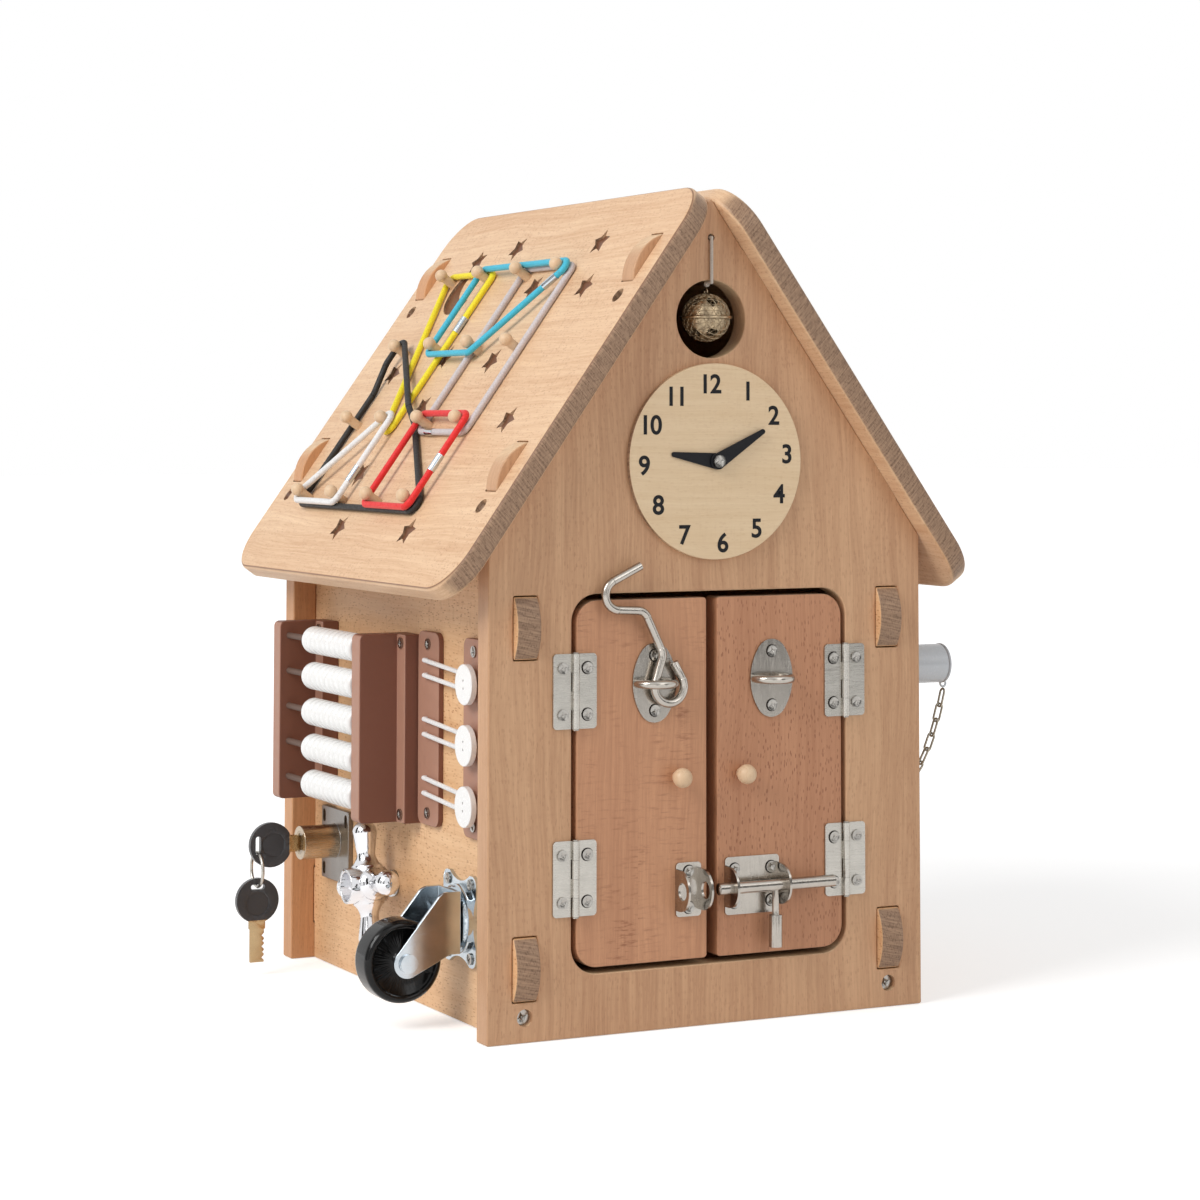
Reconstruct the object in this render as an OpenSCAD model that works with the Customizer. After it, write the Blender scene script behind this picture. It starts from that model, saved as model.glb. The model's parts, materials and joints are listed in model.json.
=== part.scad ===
// Wooden busy board built as a small gabled house: opening doors, clock,
// bell, peg-and-band roof, abacus, button lacing, lock, tap, caster, plug.
// Origin: centre of the footprint on the ground. Front faces -Y, height +Z.

/* [House] */
// Width of each gable panel
body_w = 250; // [244:1:256]
// Depth over both gable panels
body_d = 281; // [276:1:290]
// Thickness of gables, side walls and doors
panel_t = 13; // [12:0.5:14]
// Height of the gable's straight edge
eave_z = 244.3; // [240:1:250]
// Slope of the roof
roof_pitch = 54.4; // [53:0.2:56]
// Distance from the gable edge in to the outside of the side wall
wall_inset = 13.8; // [13:0.2:15]

/* [Roof] */
// Thickness of each roof board
roof_t = 11.5; // [11:0.5:13]
// How far each board runs on past the gable's eave corner
eave_over = 35.9; // [31:0.2:40]
// Overhang past the front gable
over_front = 13.4; // [10:0.2:16]
// Overhang past the back gable
over_back = 12.1; // [10:0.2:16]
// Corner radius of the boards
roof_r = 24.5; // [20:0.5:28]
// Length of the gable tenons through the roof
roof_tenon = 30; // [28:0.5:32]
// How far the rounded tenon ends stand proud
tenon_rise = 5; // [4:0.2:6]

/* [Doors] */
// Width of the door opening
door_w = 158.6; // [156:0.2:160]
// Bottom and top of the door opening
door_z0 = 30.5; // [29:0.5:32]
door_z1 = 217.9; // [216:0.5:219]
// Gap between the two doors
door_gap = 6; // [5:0.2:7]
// Gap round the doors
door_play = 2.6; // [2.4:0.1:3]
// Height of one butt hinge
hinge_h = 37.2; // [36:0.2:38]
// Diameter of the knobs
knob_d = 10; // [9:0.2:11]

/* [Bell and clock] */
// Diameter of the belfry hole
bell_hole_d = 40; // [39:0.5:42]
// Drop from the gable's peak to the middle of the belfry hole
bell_drop = 62.4; // [60:0.2:65]
// Diameter of the clock disc
clock_d = 100; // [96:0.5:102]
// Wood left between the belfry hole and the clock
clock_gap = 2.7; // [2:0.1:4]

/* [Pegs and bands] */
// Spacing of the pegs down the slope
peg_u = 50; // [49:0.2:51]
// Spacing of the pegs along the ridge
peg_v = 50.6; // [49:0.2:51]
// Diameter of the round peg heads
peg_head = 7.2; // [6.8:0.1:7.4]
// Diameter of the elastic bands
band_d = 3.6; // [3.2:0.1:3.6]

/* [Left wall] */
// Height of the abacus brackets
abacus_h = 98.4; // [96:0.4:100]
// Diameter of the abacus rings
bead_d = 15; // [14:0.2:16]
// Length of the lacing strips
strip_h = 100; // [98:0.5:102]
// Diameter of the buttons
button_d = 20.6; // [18:0.2:22]
// Diameter of the lock barrel
barrel_d = 18.4; // [17.6:0.2:19]
// Diameter of the caster wheel
wheel_d = 41.4; // [39:0.2:42]
// Reach of the tap handle's arms
tap_arm = 34; // [31:0.5:35]

/* [Right wall] */
// Diameter of the drain tube
tube_d = 21; // [20:0.5:22]
// Length of the drain tube outside the wall
tube_l = 55; // [50:1:58]

/* [Hidden] */
$fn = 64;
wall_x = body_w / 2 - wall_inset;          // outer face of the side walls
wall_mid = wall_x - panel_t / 2;
front_y = -body_d / 2;
sp = sin(roof_pitch);
cp = cos(roof_pitch);
apex_z = eave_z + body_w / 2 * sp / cp;     // underside meets here
slope_l = body_w / 2 / cp;                  // gable edge from peak to eave
roof_l = slope_l + eave_over;
fit = 0.15;                                 // slot clearance per side
slot_h = 32.1;                              // wall tenon slots
slot_zs = [19.4, 185.8];
slot_r = 1;                                 // slot corners; tenons stop short of them
tenon_us = [46.7, slope_l - 37.9];          // roof tenon centres down the slope
wall_z = apex_z - wall_x * sp / cp - 1;     // side walls end under the roof
roof_screw_us = [70.8, slope_l - 13.8];
house_screw_z = 12.2;
sink = 5;                                   // frame screws lie this deep
frame_screw_l = 19;
frame_head_r = 3.7;
floor_t = 12;
door_leaf_w = door_w / 2 - door_play - door_gap / 2;
axis_x = door_w / 2 - door_play / 2 + 0.1;  // hinge axis
axis_y = 2;                                 // hinge axis ahead of the gable
hinge_zs = [78.1, 170.1];
hinge_w = 12;                               // one leaf, from axis to edge
leaf_t = 1.2;
knuckle_r = 1.9;
pin_r = 0.9;
leaf_r = 2;                                 // corners of the leaves
door_r = 11.4;                              // corners by the hinges
door_edge_r = 2;                            // corners at the gap
hinge_screws = [[6.8, 11.5], [6.8, -11.5]];
scr_r = 1.3;                                // small screw shank
hole_r = scr_r + 0.05;
knob_z = 125;
knob_in = [17.2, 13.9];                     // from each door's free edge
knob_xs = [-door_gap / 2 - knob_in[0], door_gap / 2 + knob_in[1]];
clock_x = 1.2;
clock_t = 3;
// hook and eyes
eye_z = 172;
eye_xs = [-33.4, 34.4];
eye_r = 10;                                 // staple centreline radius
eye_wire = 2.2;
hook_pivot = [-27.3, 170.8];
hook_out = 5.4;
hook_wire = 2.2;
hook_ring = 8.3;                            // centreline radius of its open ring
hook_park = 120;                            // parked up, clear of the right door
// barrel bolt
bolt_z = 68.6;
bolt_out = 8;
bolt_rod_r = 3;
keeper_bore = 4.35;                         // the keeper takes the rod loosely
bolt_travel = 22;                          // drawn back until the left door swings past
base_x0 = 6.9;
base_x1 = 38.4;
keep_x0 = -21.3;
keep_x1 = -7;
// bell
bell_r = 12.2;
bell_y = front_y + 5;
bell_hole_z = apex_z - bell_drop;
bell_z = bell_hole_z + 0.9;
string_z = bell_hole_z + 41.9;              // small hole the bell string comes from
clock_z = bell_hole_z - bell_hole_d / 2 - clock_gap - clock_d / 2;
// pegs
peg_u0 = 53.3;
peg_v0 = -95.4;
peg_neck = 2.6;
peg_top = 9.6;
band_r = band_d / 2;
band_R = peg_neck + 1.8 + 0.3;
band_lo = 2.1;
band_hi = band_lo + 3.9;
// left wall, positions as [y, z]
ab_off = 26;                                // rods stand this far off the wall
ab_front = [front_y + 124, front_y + 135.4];    // front bracket upright, y range
ab_back = [front_y + 242.4, front_y + 252.7];
ab_foot = 9.8;                              // each bracket's foot, towards the front
ab_r = 3;
ab_z0 = 93.6;
ab_out = 31.6;
rod_r = 1.7;
rod_z0 = 106.1;
rod_pitch = 19.5;
bead_n = 10;
bead_w = 7;
strip_w = 27;
strip_t = 3;
strip_z0 = 94.4;
strip_ys = [front_y + 99.2, front_y + 40.8];
lace_zs = [175.7, 145.2, 114.9];
button_zs = [171.7, 141.2, 110.7];
lace_half = 3.9;
cord_r = 1.2;
lock_yz = [front_y + 229.5, 70.5];
barrel_l = 24;
key_off = 41.1;
ring_R = 9.2;
tap_yz = [front_y + 150, 57.7];
tap_tilt = 10;
caster_yz = [front_y + 60.2, 52.4];
trail = 18.1;
axle_off = 35.6;
wheel_w = 17.4;
// right wall
tube_yz = [front_y + 45, 172.4];
chain_wire = 0.6;
link_half = 4.95;                           // to the wire's centreline
link_side = 1.9;
link_step = 8.3;
link_n = 11;
link_low = 7.534;                           // the chain's lowest point, counted in links
stopper_eye = [-tube_d / 2 - 0.6, tube_l + 2.6, 1.7];   // up, out, radius
wall_eye = [2.6, 1.8, 0.7];                 // out, radius, wire

lap = 0.25;                                 // straights run this far into bends
thin = 0.98;                                // and are this much thinner

// ---------- frames: local z points out of the surface ----------
module front(x, z) { translate([x, front_y, z]) rotate([90, 0, 0]) children(); }
module back(x, z) { translate([x, -front_y, z]) rotate([90, 0, 180]) children(); }
module left(y, z) { translate([-wall_x, y, z]) rotate([90, 0, -90]) children(); }
module right(y, z) { translate([wall_x, y, z]) rotate([90, 0, 90]) children(); }
// local x runs down the slope, local y towards the front
module slope() {
    translate([-roof_t * sp, 0, apex_z + roof_t * cp])
        rotate([0, -roof_pitch, 0]) rotate([0, 0, 180]) children();
}

// ---------- small shapes ----------
module rrect(w, h, r) {
    square([w - 2 * r, h], center = true);
    square([w, h - 2 * r], center = true);
    for (a = [-1, 1], b = [-1, 1]) translate([a * (w / 2 - r), b * (h / 2 - r)]) circle(r);
}
// two circles and straight flanks that meet them a hair inside the tangents
module taper2d(p, rp, q, rq) {
    d = q - p;
    a = atan2(d[1], d[0]);
    b = acos((rp - rq) / norm(d));
    m = 0.99 * rp;
    n = 0.99 * rq;
    translate(p) circle(rp);
    translate(q) circle(rq);
    polygon([p + m * [cos(a + b), sin(a + b)], q + n * [cos(a + b), sin(a + b)],
        q + n * [cos(a - b), sin(a - b)], p + m * [cos(a - b), sin(a - b)]]);
}
// plate from x = 0 to w, centred on y, with its far corners rounded
module tab2d(w, h, r) {
    translate([0, -h / 2]) square([w - r, h]);
    translate([0, r - h / 2]) square([w, h - 2 * r]);
    for (b = [-1, 1]) translate([w - r, b * (h / 2 - r)]) circle(r);
}
// rounded tenon: straight to "base", then an arc of height "rise"
module tenon(len, base, rise) {
    big = (len * len / 4 + rise * rise) / (2 * rise);
    intersection() {
        translate([-len / 2, -1]) square([len, base + rise + 1]);
        translate([0, base + rise - big]) circle(big);
    }
}
module cross_cut(r, d) {
    for (a = [0, 90]) rotate([0, 0, a + 20]) translate([-r, -0.35, -d]) cube([2 * r, 0.7, d + 1]);
}
// small screw, head from z = 0 to h, shank below
module small_screw(len = 9, r = 2.9, h = 0.9) {
    difference() {
        union() { cylinder(r = r, h = h); translate([0, 0, -len]) cylinder(r = scr_r, h = len + 0.1); }
        translate([0, 0, h]) cross_cut(r * 0.62, 0.6);
    }
}
// countersunk frame screw, sunk below the surface
module frame_screw() {
    difference() {
        union() {
            translate([0, 0, -sink]) cylinder(r = frame_head_r, h = 1.6);
            translate([0, 0, -sink - frame_screw_l]) cylinder(r = 1.6, h = frame_screw_l + 0.5);
        }
        translate([0, 0, 1.6 - sink]) cross_cut(2.4, 1);
    }
}
module frame_pilot() {
    translate([0, 0, -sink - 0.05]) cylinder(r = frame_head_r + 0.5, h = sink + 3);
    translate([0, 0, -sink - frame_screw_l - 0.2]) cylinder(r = 1.65, h = frame_screw_l + 1);
}
module small_pilot(len = 9) { translate([0, 0, -len - 0.1]) cylinder(r = hole_r, h = len + 6); }
// chain of straights and bends in the local XY plane, heading +X; each step is
// [straight, bend radius, angle], and the straights run a little into the bends
module wire(r, steps, i = 0) {
    if (i < len(steps)) {
        s = steps[i];
        turn = s[2];
        translate([i == 0 ? 0 : -lap, 0, 0]) rotate([0, 90, 0])
            cylinder(r = r * thin, h = s[0] + (i == 0 ? 0 : lap) + (turn == 0 ? 0 : lap));
        if (turn != 0) translate([s[0], 0, 0]) {
            side = turn > 0 ? 1 : -1;
            translate([0, side * s[1], 0]) rotate([0, 0, turn > 0 ? -90 : 90 + turn])
                rotate_extrude(angle = abs(turn)) translate([s[1], 0]) circle(r);
            translate([s[1] * sin(abs(turn)), side * s[1] * (1 - cos(turn)), 0])
                rotate([0, 0, turn]) wire(r, steps, i + 1);
        }
    }
}
// straight round bar between two points
module bar(p, q, r) {
    d = q - p;
    l = norm(d);
    translate(p) rotate([0, acos(d[2] / l), atan2(d[1], d[0])]) cylinder(r = r, h = l);
}

// ---------- screw positions ----------
module front_frame_screws() { for (s = [-1, 1]) front(s * wall_mid, house_screw_z) children(); }
module back_frame_screws() { for (s = [-1, 1]) back(s * wall_mid, house_screw_z) children(); }
// spots on the front gable at all hinges
module frame_hinge_spots() {
    for (s = [-1, 1], z = hinge_zs, k = hinge_screws)
        front(s * (axis_x + k[0]), z + k[1]) children();
}
// spots on the left door (side -1) or right door (side 1) at its hinges
module door_hinge_spots(s) {
    for (z = hinge_zs, k = hinge_screws) front(s * (axis_x - k[0]), z + k[1]) children();
}
module eye_spots(i) { for (k = [-13.8, 13.8]) front(eye_xs[i], eye_z + 0.7 + k) children(); }
module keep_spots() { for (k = [-9, 9]) front((keep_x0 + keep_x1) / 2, bolt_z + k) children(); }
module base_spots() {
    for (a = [base_x0 + 5.4, base_x1 - 4.9], k = [-8.4, 8.4]) front(a, bolt_z + k) children();
}
module abacus_spots() {
    for (y = [ab_front[0] - ab_foot / 2, ab_back[0] - ab_foot / 2], z = [ab_z0 + 4.5, ab_z0 + abacus_h - 4.5])
        left(y, z) translate([0, 0, 10]) children();
}
module left_spots() {
    for (y = strip_ys, z = [strip_z0 + 6.4, strip_z0 + strip_h - 6.4]) left(y, z)
        translate([0, 0, strip_t]) children();
    for (a = [-1, 1], b = [-1, 1]) left(caster_yz[0] + a * 13.8, caster_yz[1] + b * 18.4)
        translate([0, 0, 2]) children();
}
module roof_screw_spots() {
    for (u = roof_screw_us, v = [-front_y - panel_t / 2, front_y + panel_t / 2])
        translate([u, v, 0]) children();
}

module roof_pilots() { for (m = [0, 1]) mirror([m, 0, 0]) slope() roof_screw_spots() frame_pilot(); }

// ---------- panels ----------
module gable2d() {
    polygon([[-body_w / 2, 0], [body_w / 2, 0], [body_w / 2, eave_z], [0, apex_z],
        [-body_w / 2, eave_z]]);
    for (m = [0, 1]) mirror([m, 0]) translate([0, apex_z]) rotate(180 + roof_pitch)
        mirror([0, 1]) for (u = tenon_us) translate([u, 0])
            tenon(roof_tenon - 2 * fit, roof_t, tenon_rise);
}
module wall_slots2d() {
    for (s = [-1, 1], z = slot_zs) translate([s * wall_mid, z + slot_h / 2])
        rrect(panel_t + 2 * fit, slot_h, slot_r);
}
module gable_cut() { difference() { gable2d(); wall_slots2d(); } }

module front_panel() {
    color("BurlyWood") difference() {
        translate([0, front_y + panel_t, 0]) rotate([90, 0, 0]) linear_extrude(panel_t)
            difference() {
                gable_cut();
                translate([0, (door_z0 + door_z1) / 2]) rrect(door_w, door_z1 - door_z0, 14);
                translate([0, bell_hole_z]) circle(d = bell_hole_d);
                translate([0, string_z]) circle(2);
            }
        front_frame_screws() frame_pilot();
        roof_pilots();
        frame_hinge_spots() small_pilot();
        front(clock_x, clock_z) small_pilot(10);
    }
}
module back_panel() {
    color("BurlyWood") difference() {
        translate([0, -front_y, 0]) rotate([90, 0, 0]) linear_extrude(panel_t) gable_cut();
        back_frame_screws() frame_pilot();
        roof_pilots();
    }
}
// side wall profile in (depth, height)
module wall2d() {
    inner = body_d / 2 - panel_t;
    translate([-inner, 0]) square([2 * inner, wall_z]);
    for (m = [0, 1]) mirror([m, 0]) for (z = slot_zs)
        translate([inner, z + slot_h / 2]) rotate(-90) tenon(slot_h - 1.3, panel_t, tenon_rise);
}
module side_wall() {
    rotate([90, 0, 90]) linear_extrude(panel_t) wall2d();
}
module left_panel() {
    color("BurlyWood") difference() {
        translate([-wall_x, 0, 0]) side_wall();
        front_frame_screws() frame_pilot();
        back_frame_screws() frame_pilot();
        left_spots() small_pilot(12);
        abacus_spots() small_pilot(20);
        left(tap_yz[0], tap_yz[1]) translate([0, 0, -9]) cylinder(r = 4.05, h = 12);
    }
}
module right_panel() {
    color("BurlyWood") difference() {
        translate([wall_x - panel_t, 0, 0]) side_wall();
        front_frame_screws() frame_pilot();
        back_frame_screws() frame_pilot();
        right(tube_yz[0], tube_yz[1]) translate([0, 0, -panel_t - 1])
            cylinder(d = tube_d + 0.1, h = panel_t + 2);
        right(tube_yz[0], chain_eye_z) translate([0, 0, -8.1]) cylinder(r = 0.85, h = 10);
    }
}
module floor_panel() {
    w = 2 * (wall_x - panel_t);
    color("BurlyWood") translate([-w / 2, front_y + panel_t, door_z0 - floor_t])
        cube([w, body_d - 2 * panel_t, floor_t]);
}

// ---------- roof ----------
stars = [[30.4, -36.9, 10], [32.5, 69.6, 40], [62.8, 86.4, 25], [60.5, 20.5, 5], [106.4, -36.4, 30],
    [109.9, 29.4, 12], [148.6, 98.4, 20], [185.3, -47.9, 0], [219.9, -27.3, 15], [219, 65.6, 33],
    [140.6, -23.7, 8], [36.9, -82.6, 54], [116.2, -96.9, 18]];
star_r = 8.6;
moon_at = [58, -75.5];
moon_r = 17;
carve = 1.5;                                // depth of the stars and the moon
module star2d(r) {
    polygon([for (i = [0:9]) (i % 2 == 0 ? r : r * 0.52) * [cos(36 * i), sin(36 * i)]]);
}
module moon2d() {
    difference() {
        circle(moon_r);
        translate([-6, 9.5]) circle(14);
    }
}
module roof_blank() {
    translate([roof_l / 2, (over_front - over_back) / 2, -roof_t])
        linear_extrude(roof_t) rrect(roof_l, body_d + over_front + over_back, roof_r);
}
module roof_openings() {
    for (u = tenon_us, v = [-front_y - panel_t / 2, front_y + panel_t / 2])
        translate([u, v, -roof_t - 1]) linear_extrude(roof_t + 2)
            rrect(roof_tenon + 1, panel_t + 2 * fit, slot_r);
    roof_screw_spots() frame_pilot();
}
function peg(i, j) = [peg_u0 + (i - 1) * peg_u, peg_v0 + (j - 1) * peg_v];
module roof_left() {
    color("Wheat") slope() difference() {
        roof_blank();
        roof_openings();
        for (i = [1:4], j = [1:4]) translate([peg(i, j)[0], peg(i, j)[1], -8.05])
            cylinder(r = peg_neck + 0.02, h = 9);
        for (s = stars) translate([s[0], s[1], -carve]) rotate([0, 0, s[2]])
            linear_extrude(carve + 1) star2d(star_r);
        translate([moon_at[0], moon_at[1], -carve]) linear_extrude(carve + 1) moon2d();
    }
}
module roof_right() {
    color("Wheat") mirror([1, 0, 0]) slope() difference() { roof_blank(); roof_openings(); }
}
module pegs() {
    color("Wheat") slope() for (i = [1:4], j = [1:4]) translate([peg(i, j)[0], peg(i, j)[1], 0]) {
        translate([0, 0, -8]) cylinder(r = peg_neck, h = 8 + peg_top);
        translate([0, 0, peg_top]) sphere(d = peg_head);
    }
}

// closed band round pegs listed counter-clockwise, at one height
module band(p, h) {
    n = len(p);
    for (i = [0:n - 1]) {
        a = p[i];
        b = p[(i + 1) % n];
        c = p[(i + 2) % n];
        h1 = atan2(b[1] - a[1], b[0] - a[0]);
        h2 = atan2(c[1] - b[1], c[0] - b[0]);
        turn = (h2 - h1 + 720) % 360;
        translate([a[0] + band_R * sin(h1), a[1] - band_R * cos(h1), h]) rotate([0, 0, h1])
            translate([-lap, 0, 0]) rotate([0, 90, 0])
                cylinder(r = band_r * thin, h = norm(b - a) + 2 * lap);
        translate([b[0], b[1], h]) rotate([0, 0, h1 - 90])
            rotate_extrude(angle = turn) translate([band_R, 0]) circle(band_r);
    }
}
yellow_pegs = [peg(1, 1), peg(3, 2), peg(1, 2)];
blue_pegs = [peg(1, 2), peg(2, 2), peg(2, 3), peg(1, 4)];
grey_pegs = [peg(1, 3), peg(3, 3), peg(3, 4), peg(1, 4)];
red_pegs = [peg(3, 3), peg(4, 3), peg(4, 4), peg(3, 4)];
white_pegs = [peg(3, 2), peg(4, 1), peg(4, 2)];
module band_yellow() { color("Yellow") slope() band(yellow_pegs, band_lo); }
module band_blue() { color("DeepSkyBlue") slope() band(blue_pegs, band_hi); }
module band_grey() { color("LightGrey") slope() band(grey_pegs, band_lo); }
module band_red() { color("Red") slope() band(red_pegs, band_hi); }
module band_white() { color("White") slope() band(white_pegs, band_hi); }
// the black band climbs over the yellow one after passing under the red
black_pegs = [peg(2, 1), peg(4, 1), peg(4, 4)];
black_hs = [band_hi, band_lo, band_lo];
black_bend = 20;                            // radius and angle of its rise and fall
black_tilt = 12;
module black_side(i) {
    a = black_pegs[i];
    b = black_pegs[(i + 1) % 3];
    c = black_pegs[(i + 2) % 3];
    h1 = atan2(b[1] - a[1], b[0] - a[0]);
    h2 = atan2(c[1] - b[1], c[0] - b[0]);
    len = norm(b - a) + 2 * lap;
    rise = black_hs[(i + 1) % 3] - black_hs[i];
    way = sign(rise);
    m = (abs(rise) - 2 * black_bend * (1 - cos(black_tilt))) / sin(black_tilt);
    first = i == 0 ? 8 : 0.45 * len;
    left = len - first - 2 * black_bend * sin(black_tilt) - m * cos(black_tilt);
    translate([a[0] + band_R * sin(h1), a[1] - band_R * cos(h1), black_hs[i]])
        rotate([0, 0, h1]) translate([-lap, 0, 0]) rotate([90, 0, 0])
            wire(band_r, rise == 0 ? [[len, 0, 0]]
                : [[first, black_bend, way * black_tilt], [m, black_bend, -way * black_tilt],
                    [left, 0, 0]]);
    translate([b[0], b[1], black_hs[(i + 1) % 3]]) rotate([0, 0, h1 - 90])
        rotate_extrude(angle = (h2 - h1 + 720) % 360) translate([band_R, 0]) circle(band_r);
}
module band_black() { color("DimGray") slope() for (i = [0:2]) black_side(i); }
// metal sleeve on side i of a band, starting t along it
module crimp(p, i, t, h) {
    a = p[i];
    b = p[(i + 1) % len(p)];
    h1 = atan2(b[1] - a[1], b[0] - a[0]);
    translate([a[0] + band_R * sin(h1), a[1] - band_R * cos(h1), h])
        rotate([0, 0, h1]) rotate([0, 90, 0]) translate([0, 0, t * norm(b - a)])
            difference() {
                cylinder(r = band_r + 0.25, h = 10);
                translate([0, 0, -1]) cylinder(r = band_r + 0.02, h = 12);
            }
}
module band_crimps() {
    color("Silver") slope() {
        crimp(yellow_pegs, 1, 0.63, band_lo);
        crimp(blue_pegs, 2, 0.82, band_hi);
        crimp(grey_pegs, 1, 0.12, band_lo);
        crimp(red_pegs, 2, 0.36, band_hi);
        crimp(white_pegs, 2, 0.18, band_hi);
    }
}

// ---------- doors and hinges ----------
module door(s) {
    h = door_z1 - door_z0 - 2 * door_play - 1;
    half = door_leaf_w / 2;
    difference() {
        translate([s * (door_gap / 2 + half), front_y + panel_t, (door_z0 + door_z1) / 2])
            mirror([s > 0 ? 0 : 1, 0, 0]) rotate([90, 0, 0]) linear_extrude(panel_t) {
                tab2d(half, h, door_r);
                translate([0.01, 0]) rotate(180) tab2d(half + 0.01, h, door_edge_r);
            }
        door_hinge_spots(s) small_pilot();
    }
}
module left_door() {
    color("Peru") difference() {
        door(-1);
        eye_spots(0) small_pilot();
        keep_spots() small_pilot();
        front(knob_xs[0], knob_z) small_pilot(8);
    }
}
module right_door() {
    color("Peru") difference() {
        door(1);
        eye_spots(1) small_pilot();
        base_spots() small_pilot();
        front(knob_xs[1], knob_z) small_pilot(8);
    }
}
module knob(i) {
    color("Tan") front(knob_xs[i], knob_z) {
        cylinder(r = knob_d * 0.28, h = 3);
        translate([0, 0, knob_d / 2 + 1.2]) sphere(d = knob_d);
        translate([0, 0, -7.5]) cylinder(r = scr_r, h = 8);
    }
}
module left_knob() { knob(0); }
module right_knob() { knob(1); }

// one leaf and its knuckles; own = knuckle numbers it carries, dir = +1 or -1 in x
module leaf(dir, own) {
    k = hinge_h / 4;
    root = knuckle_r + 0.3;
    mirror([dir > 0 ? 0 : 1, 0, 0]) difference() {
        union() {
            translate([root, 0, 0]) linear_extrude(leaf_t) tab2d(hinge_w - root, hinge_h, leaf_r);
            for (i = own) translate([0, -hinge_h / 2 + i * k, 0]) {
                translate([0, 0.05, 0.4]) cube([root + 0.1, k - 0.1, leaf_t - 0.4]);
                translate([0, 0.05, axis_y]) rotate([-90, 0, 0]) cylinder(r = knuckle_r, h = k - 0.1);
            }
        }
        for (s = hinge_screws) translate([s[0], s[1], 0]) small_pilot();
        translate([0, -hinge_h / 2 - 1, axis_y]) rotate([-90, 0, 0])
            cylinder(r = pin_r + 0.05, h = hinge_h + 2);
    }
}
module frame_hinge_leaves() {
    color("Silver") for (s = [-1, 1], z = hinge_zs) front(s * axis_x, z) leaf(s, [1, 3]);
}
module left_hinge_leaves() {
    color("Silver") for (z = hinge_zs) front(-axis_x, z) leaf(1, [0, 2]);
}
module right_hinge_leaves() {
    color("Silver") for (z = hinge_zs) front(axis_x, z) leaf(-1, [0, 2]);
}
module hinge_pins() {
    color("Silver") for (s = [-1, 1], z = hinge_zs) front(s * axis_x, z)
        translate([0, -hinge_h / 2 - 0.6, axis_y]) rotate([-90, 0, 0]) {
            cylinder(r = pin_r, h = hinge_h + 1.2);
            for (h = [0, hinge_h + 0.7]) translate([0, 0, h]) cylinder(r = pin_r + 0.7, h = 0.5);
        }
}

// ---------- hook and eyes ----------
module oval() {
    r = 9; b = 12.4; a = 19.9; c = a - r;
    e = (c * c - (b - r) * (b - r)) / (2 * (b - r));
    R = b + e;
    yt = c * R / (R - r);
    for (s = [-1, 1]) translate([0, s * c]) circle(r);
    intersection() {
        translate([-e, 0]) circle(R);
        translate([e, 0]) circle(R);
        square([4 * b, 2 * yt], center = true);
    }
}
module eye_plate(i) {
    color("Silver") difference() {
        front(eye_xs[i], eye_z) {
            translate([0, 0.7, 0]) linear_extrude(leaf_t) oval();
            translate([0, 0.4, leaf_t - 0.2]) rotate([90, 0, 0]) rotate_extrude(angle = 180)
                translate([eye_r, 0]) circle(eye_wire);
        }
        eye_spots(i) small_pilot();
        translate([-door_w, front_y, 0]) cube([2 * door_w, panel_t, apex_z]);
    }
}
module hook_plate_left() { eye_plate(0); }
module hook_plate_right() { eye_plate(1); }
// one bent wire: free end, open ring round the left eye, shank, bill
module hook() {
    color("Silver") front(hook_pivot[0], hook_pivot[1]) rotate([0, 0, hook_park])
        translate([9, -hook_ring, hook_out]) rotate([0, 0, 180])
            wire(hook_wire, [[9, hook_ring, -227.5], [11.5, 8, 43.5], [17.5, 6, 61],
                [11.2, 7.6, -151.5], [17, 0, 0]]);
}

// ---------- barrel bolt, stored drawn back ----------
module bolt_ear(x) {
    translate([x, 0, 0]) rotate([90, 0, 90]) linear_extrude(leaf_t) {
        translate([-10.3, 0]) square([20.6, 4.5]);
        translate([0, 4.5]) circle(10.3);
    }
}
module bolt_plate(x0, x1, h, bore) {
    front(0, bolt_z) difference() {
        union() {
            translate([(x0 + x1) / 2, 0, 0]) linear_extrude(leaf_t) rrect(x1 - x0, h, 2);
            intersection() {
                union() { bolt_ear(x0); bolt_ear(x1 - leaf_t); }
                translate([-60, -20, 0]) cube([120, 40, 30]);
            }
        }
        translate([x0 - 1, 0, bolt_out]) rotate([0, 90, 0])
            cylinder(r = bore, h = x1 - x0 + 2);
    }
}
module bolt_keeper() {
    color("Silver") difference() {
        bolt_plate(keep_x0, keep_x1, 27, keeper_bore);
        keep_spots() small_pilot();
    }
}
module bolt_base() {
    color("Silver") difference() {
        bolt_plate(base_x0, base_x1, 29, bolt_rod_r + 0.08);
        base_spots() small_pilot();
    }
}
module bolt_rod() {
    color("Silver") front(bolt_travel, bolt_z) {
        translate([-22.5, 0, bolt_out]) rotate([0, 90, 0]) cylinder(r = bolt_rod_r, h = 67.3);
        translate([10.4, -16, bolt_out]) rotate([-90, 0, 0]) cylinder(r = 1.8, h = 16);
        translate([10.4, -31, bolt_out]) rotate([-90, 0, 0]) cylinder(r = 3.4, h = 16);
    }
}

// ---------- clock ----------
module clock_face() {
    color("Moccasin") difference() {
        front(clock_x, clock_z) cylinder(d = clock_d, h = clock_t);
        front(clock_x, clock_z) small_pilot(10);
    }
}
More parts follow.
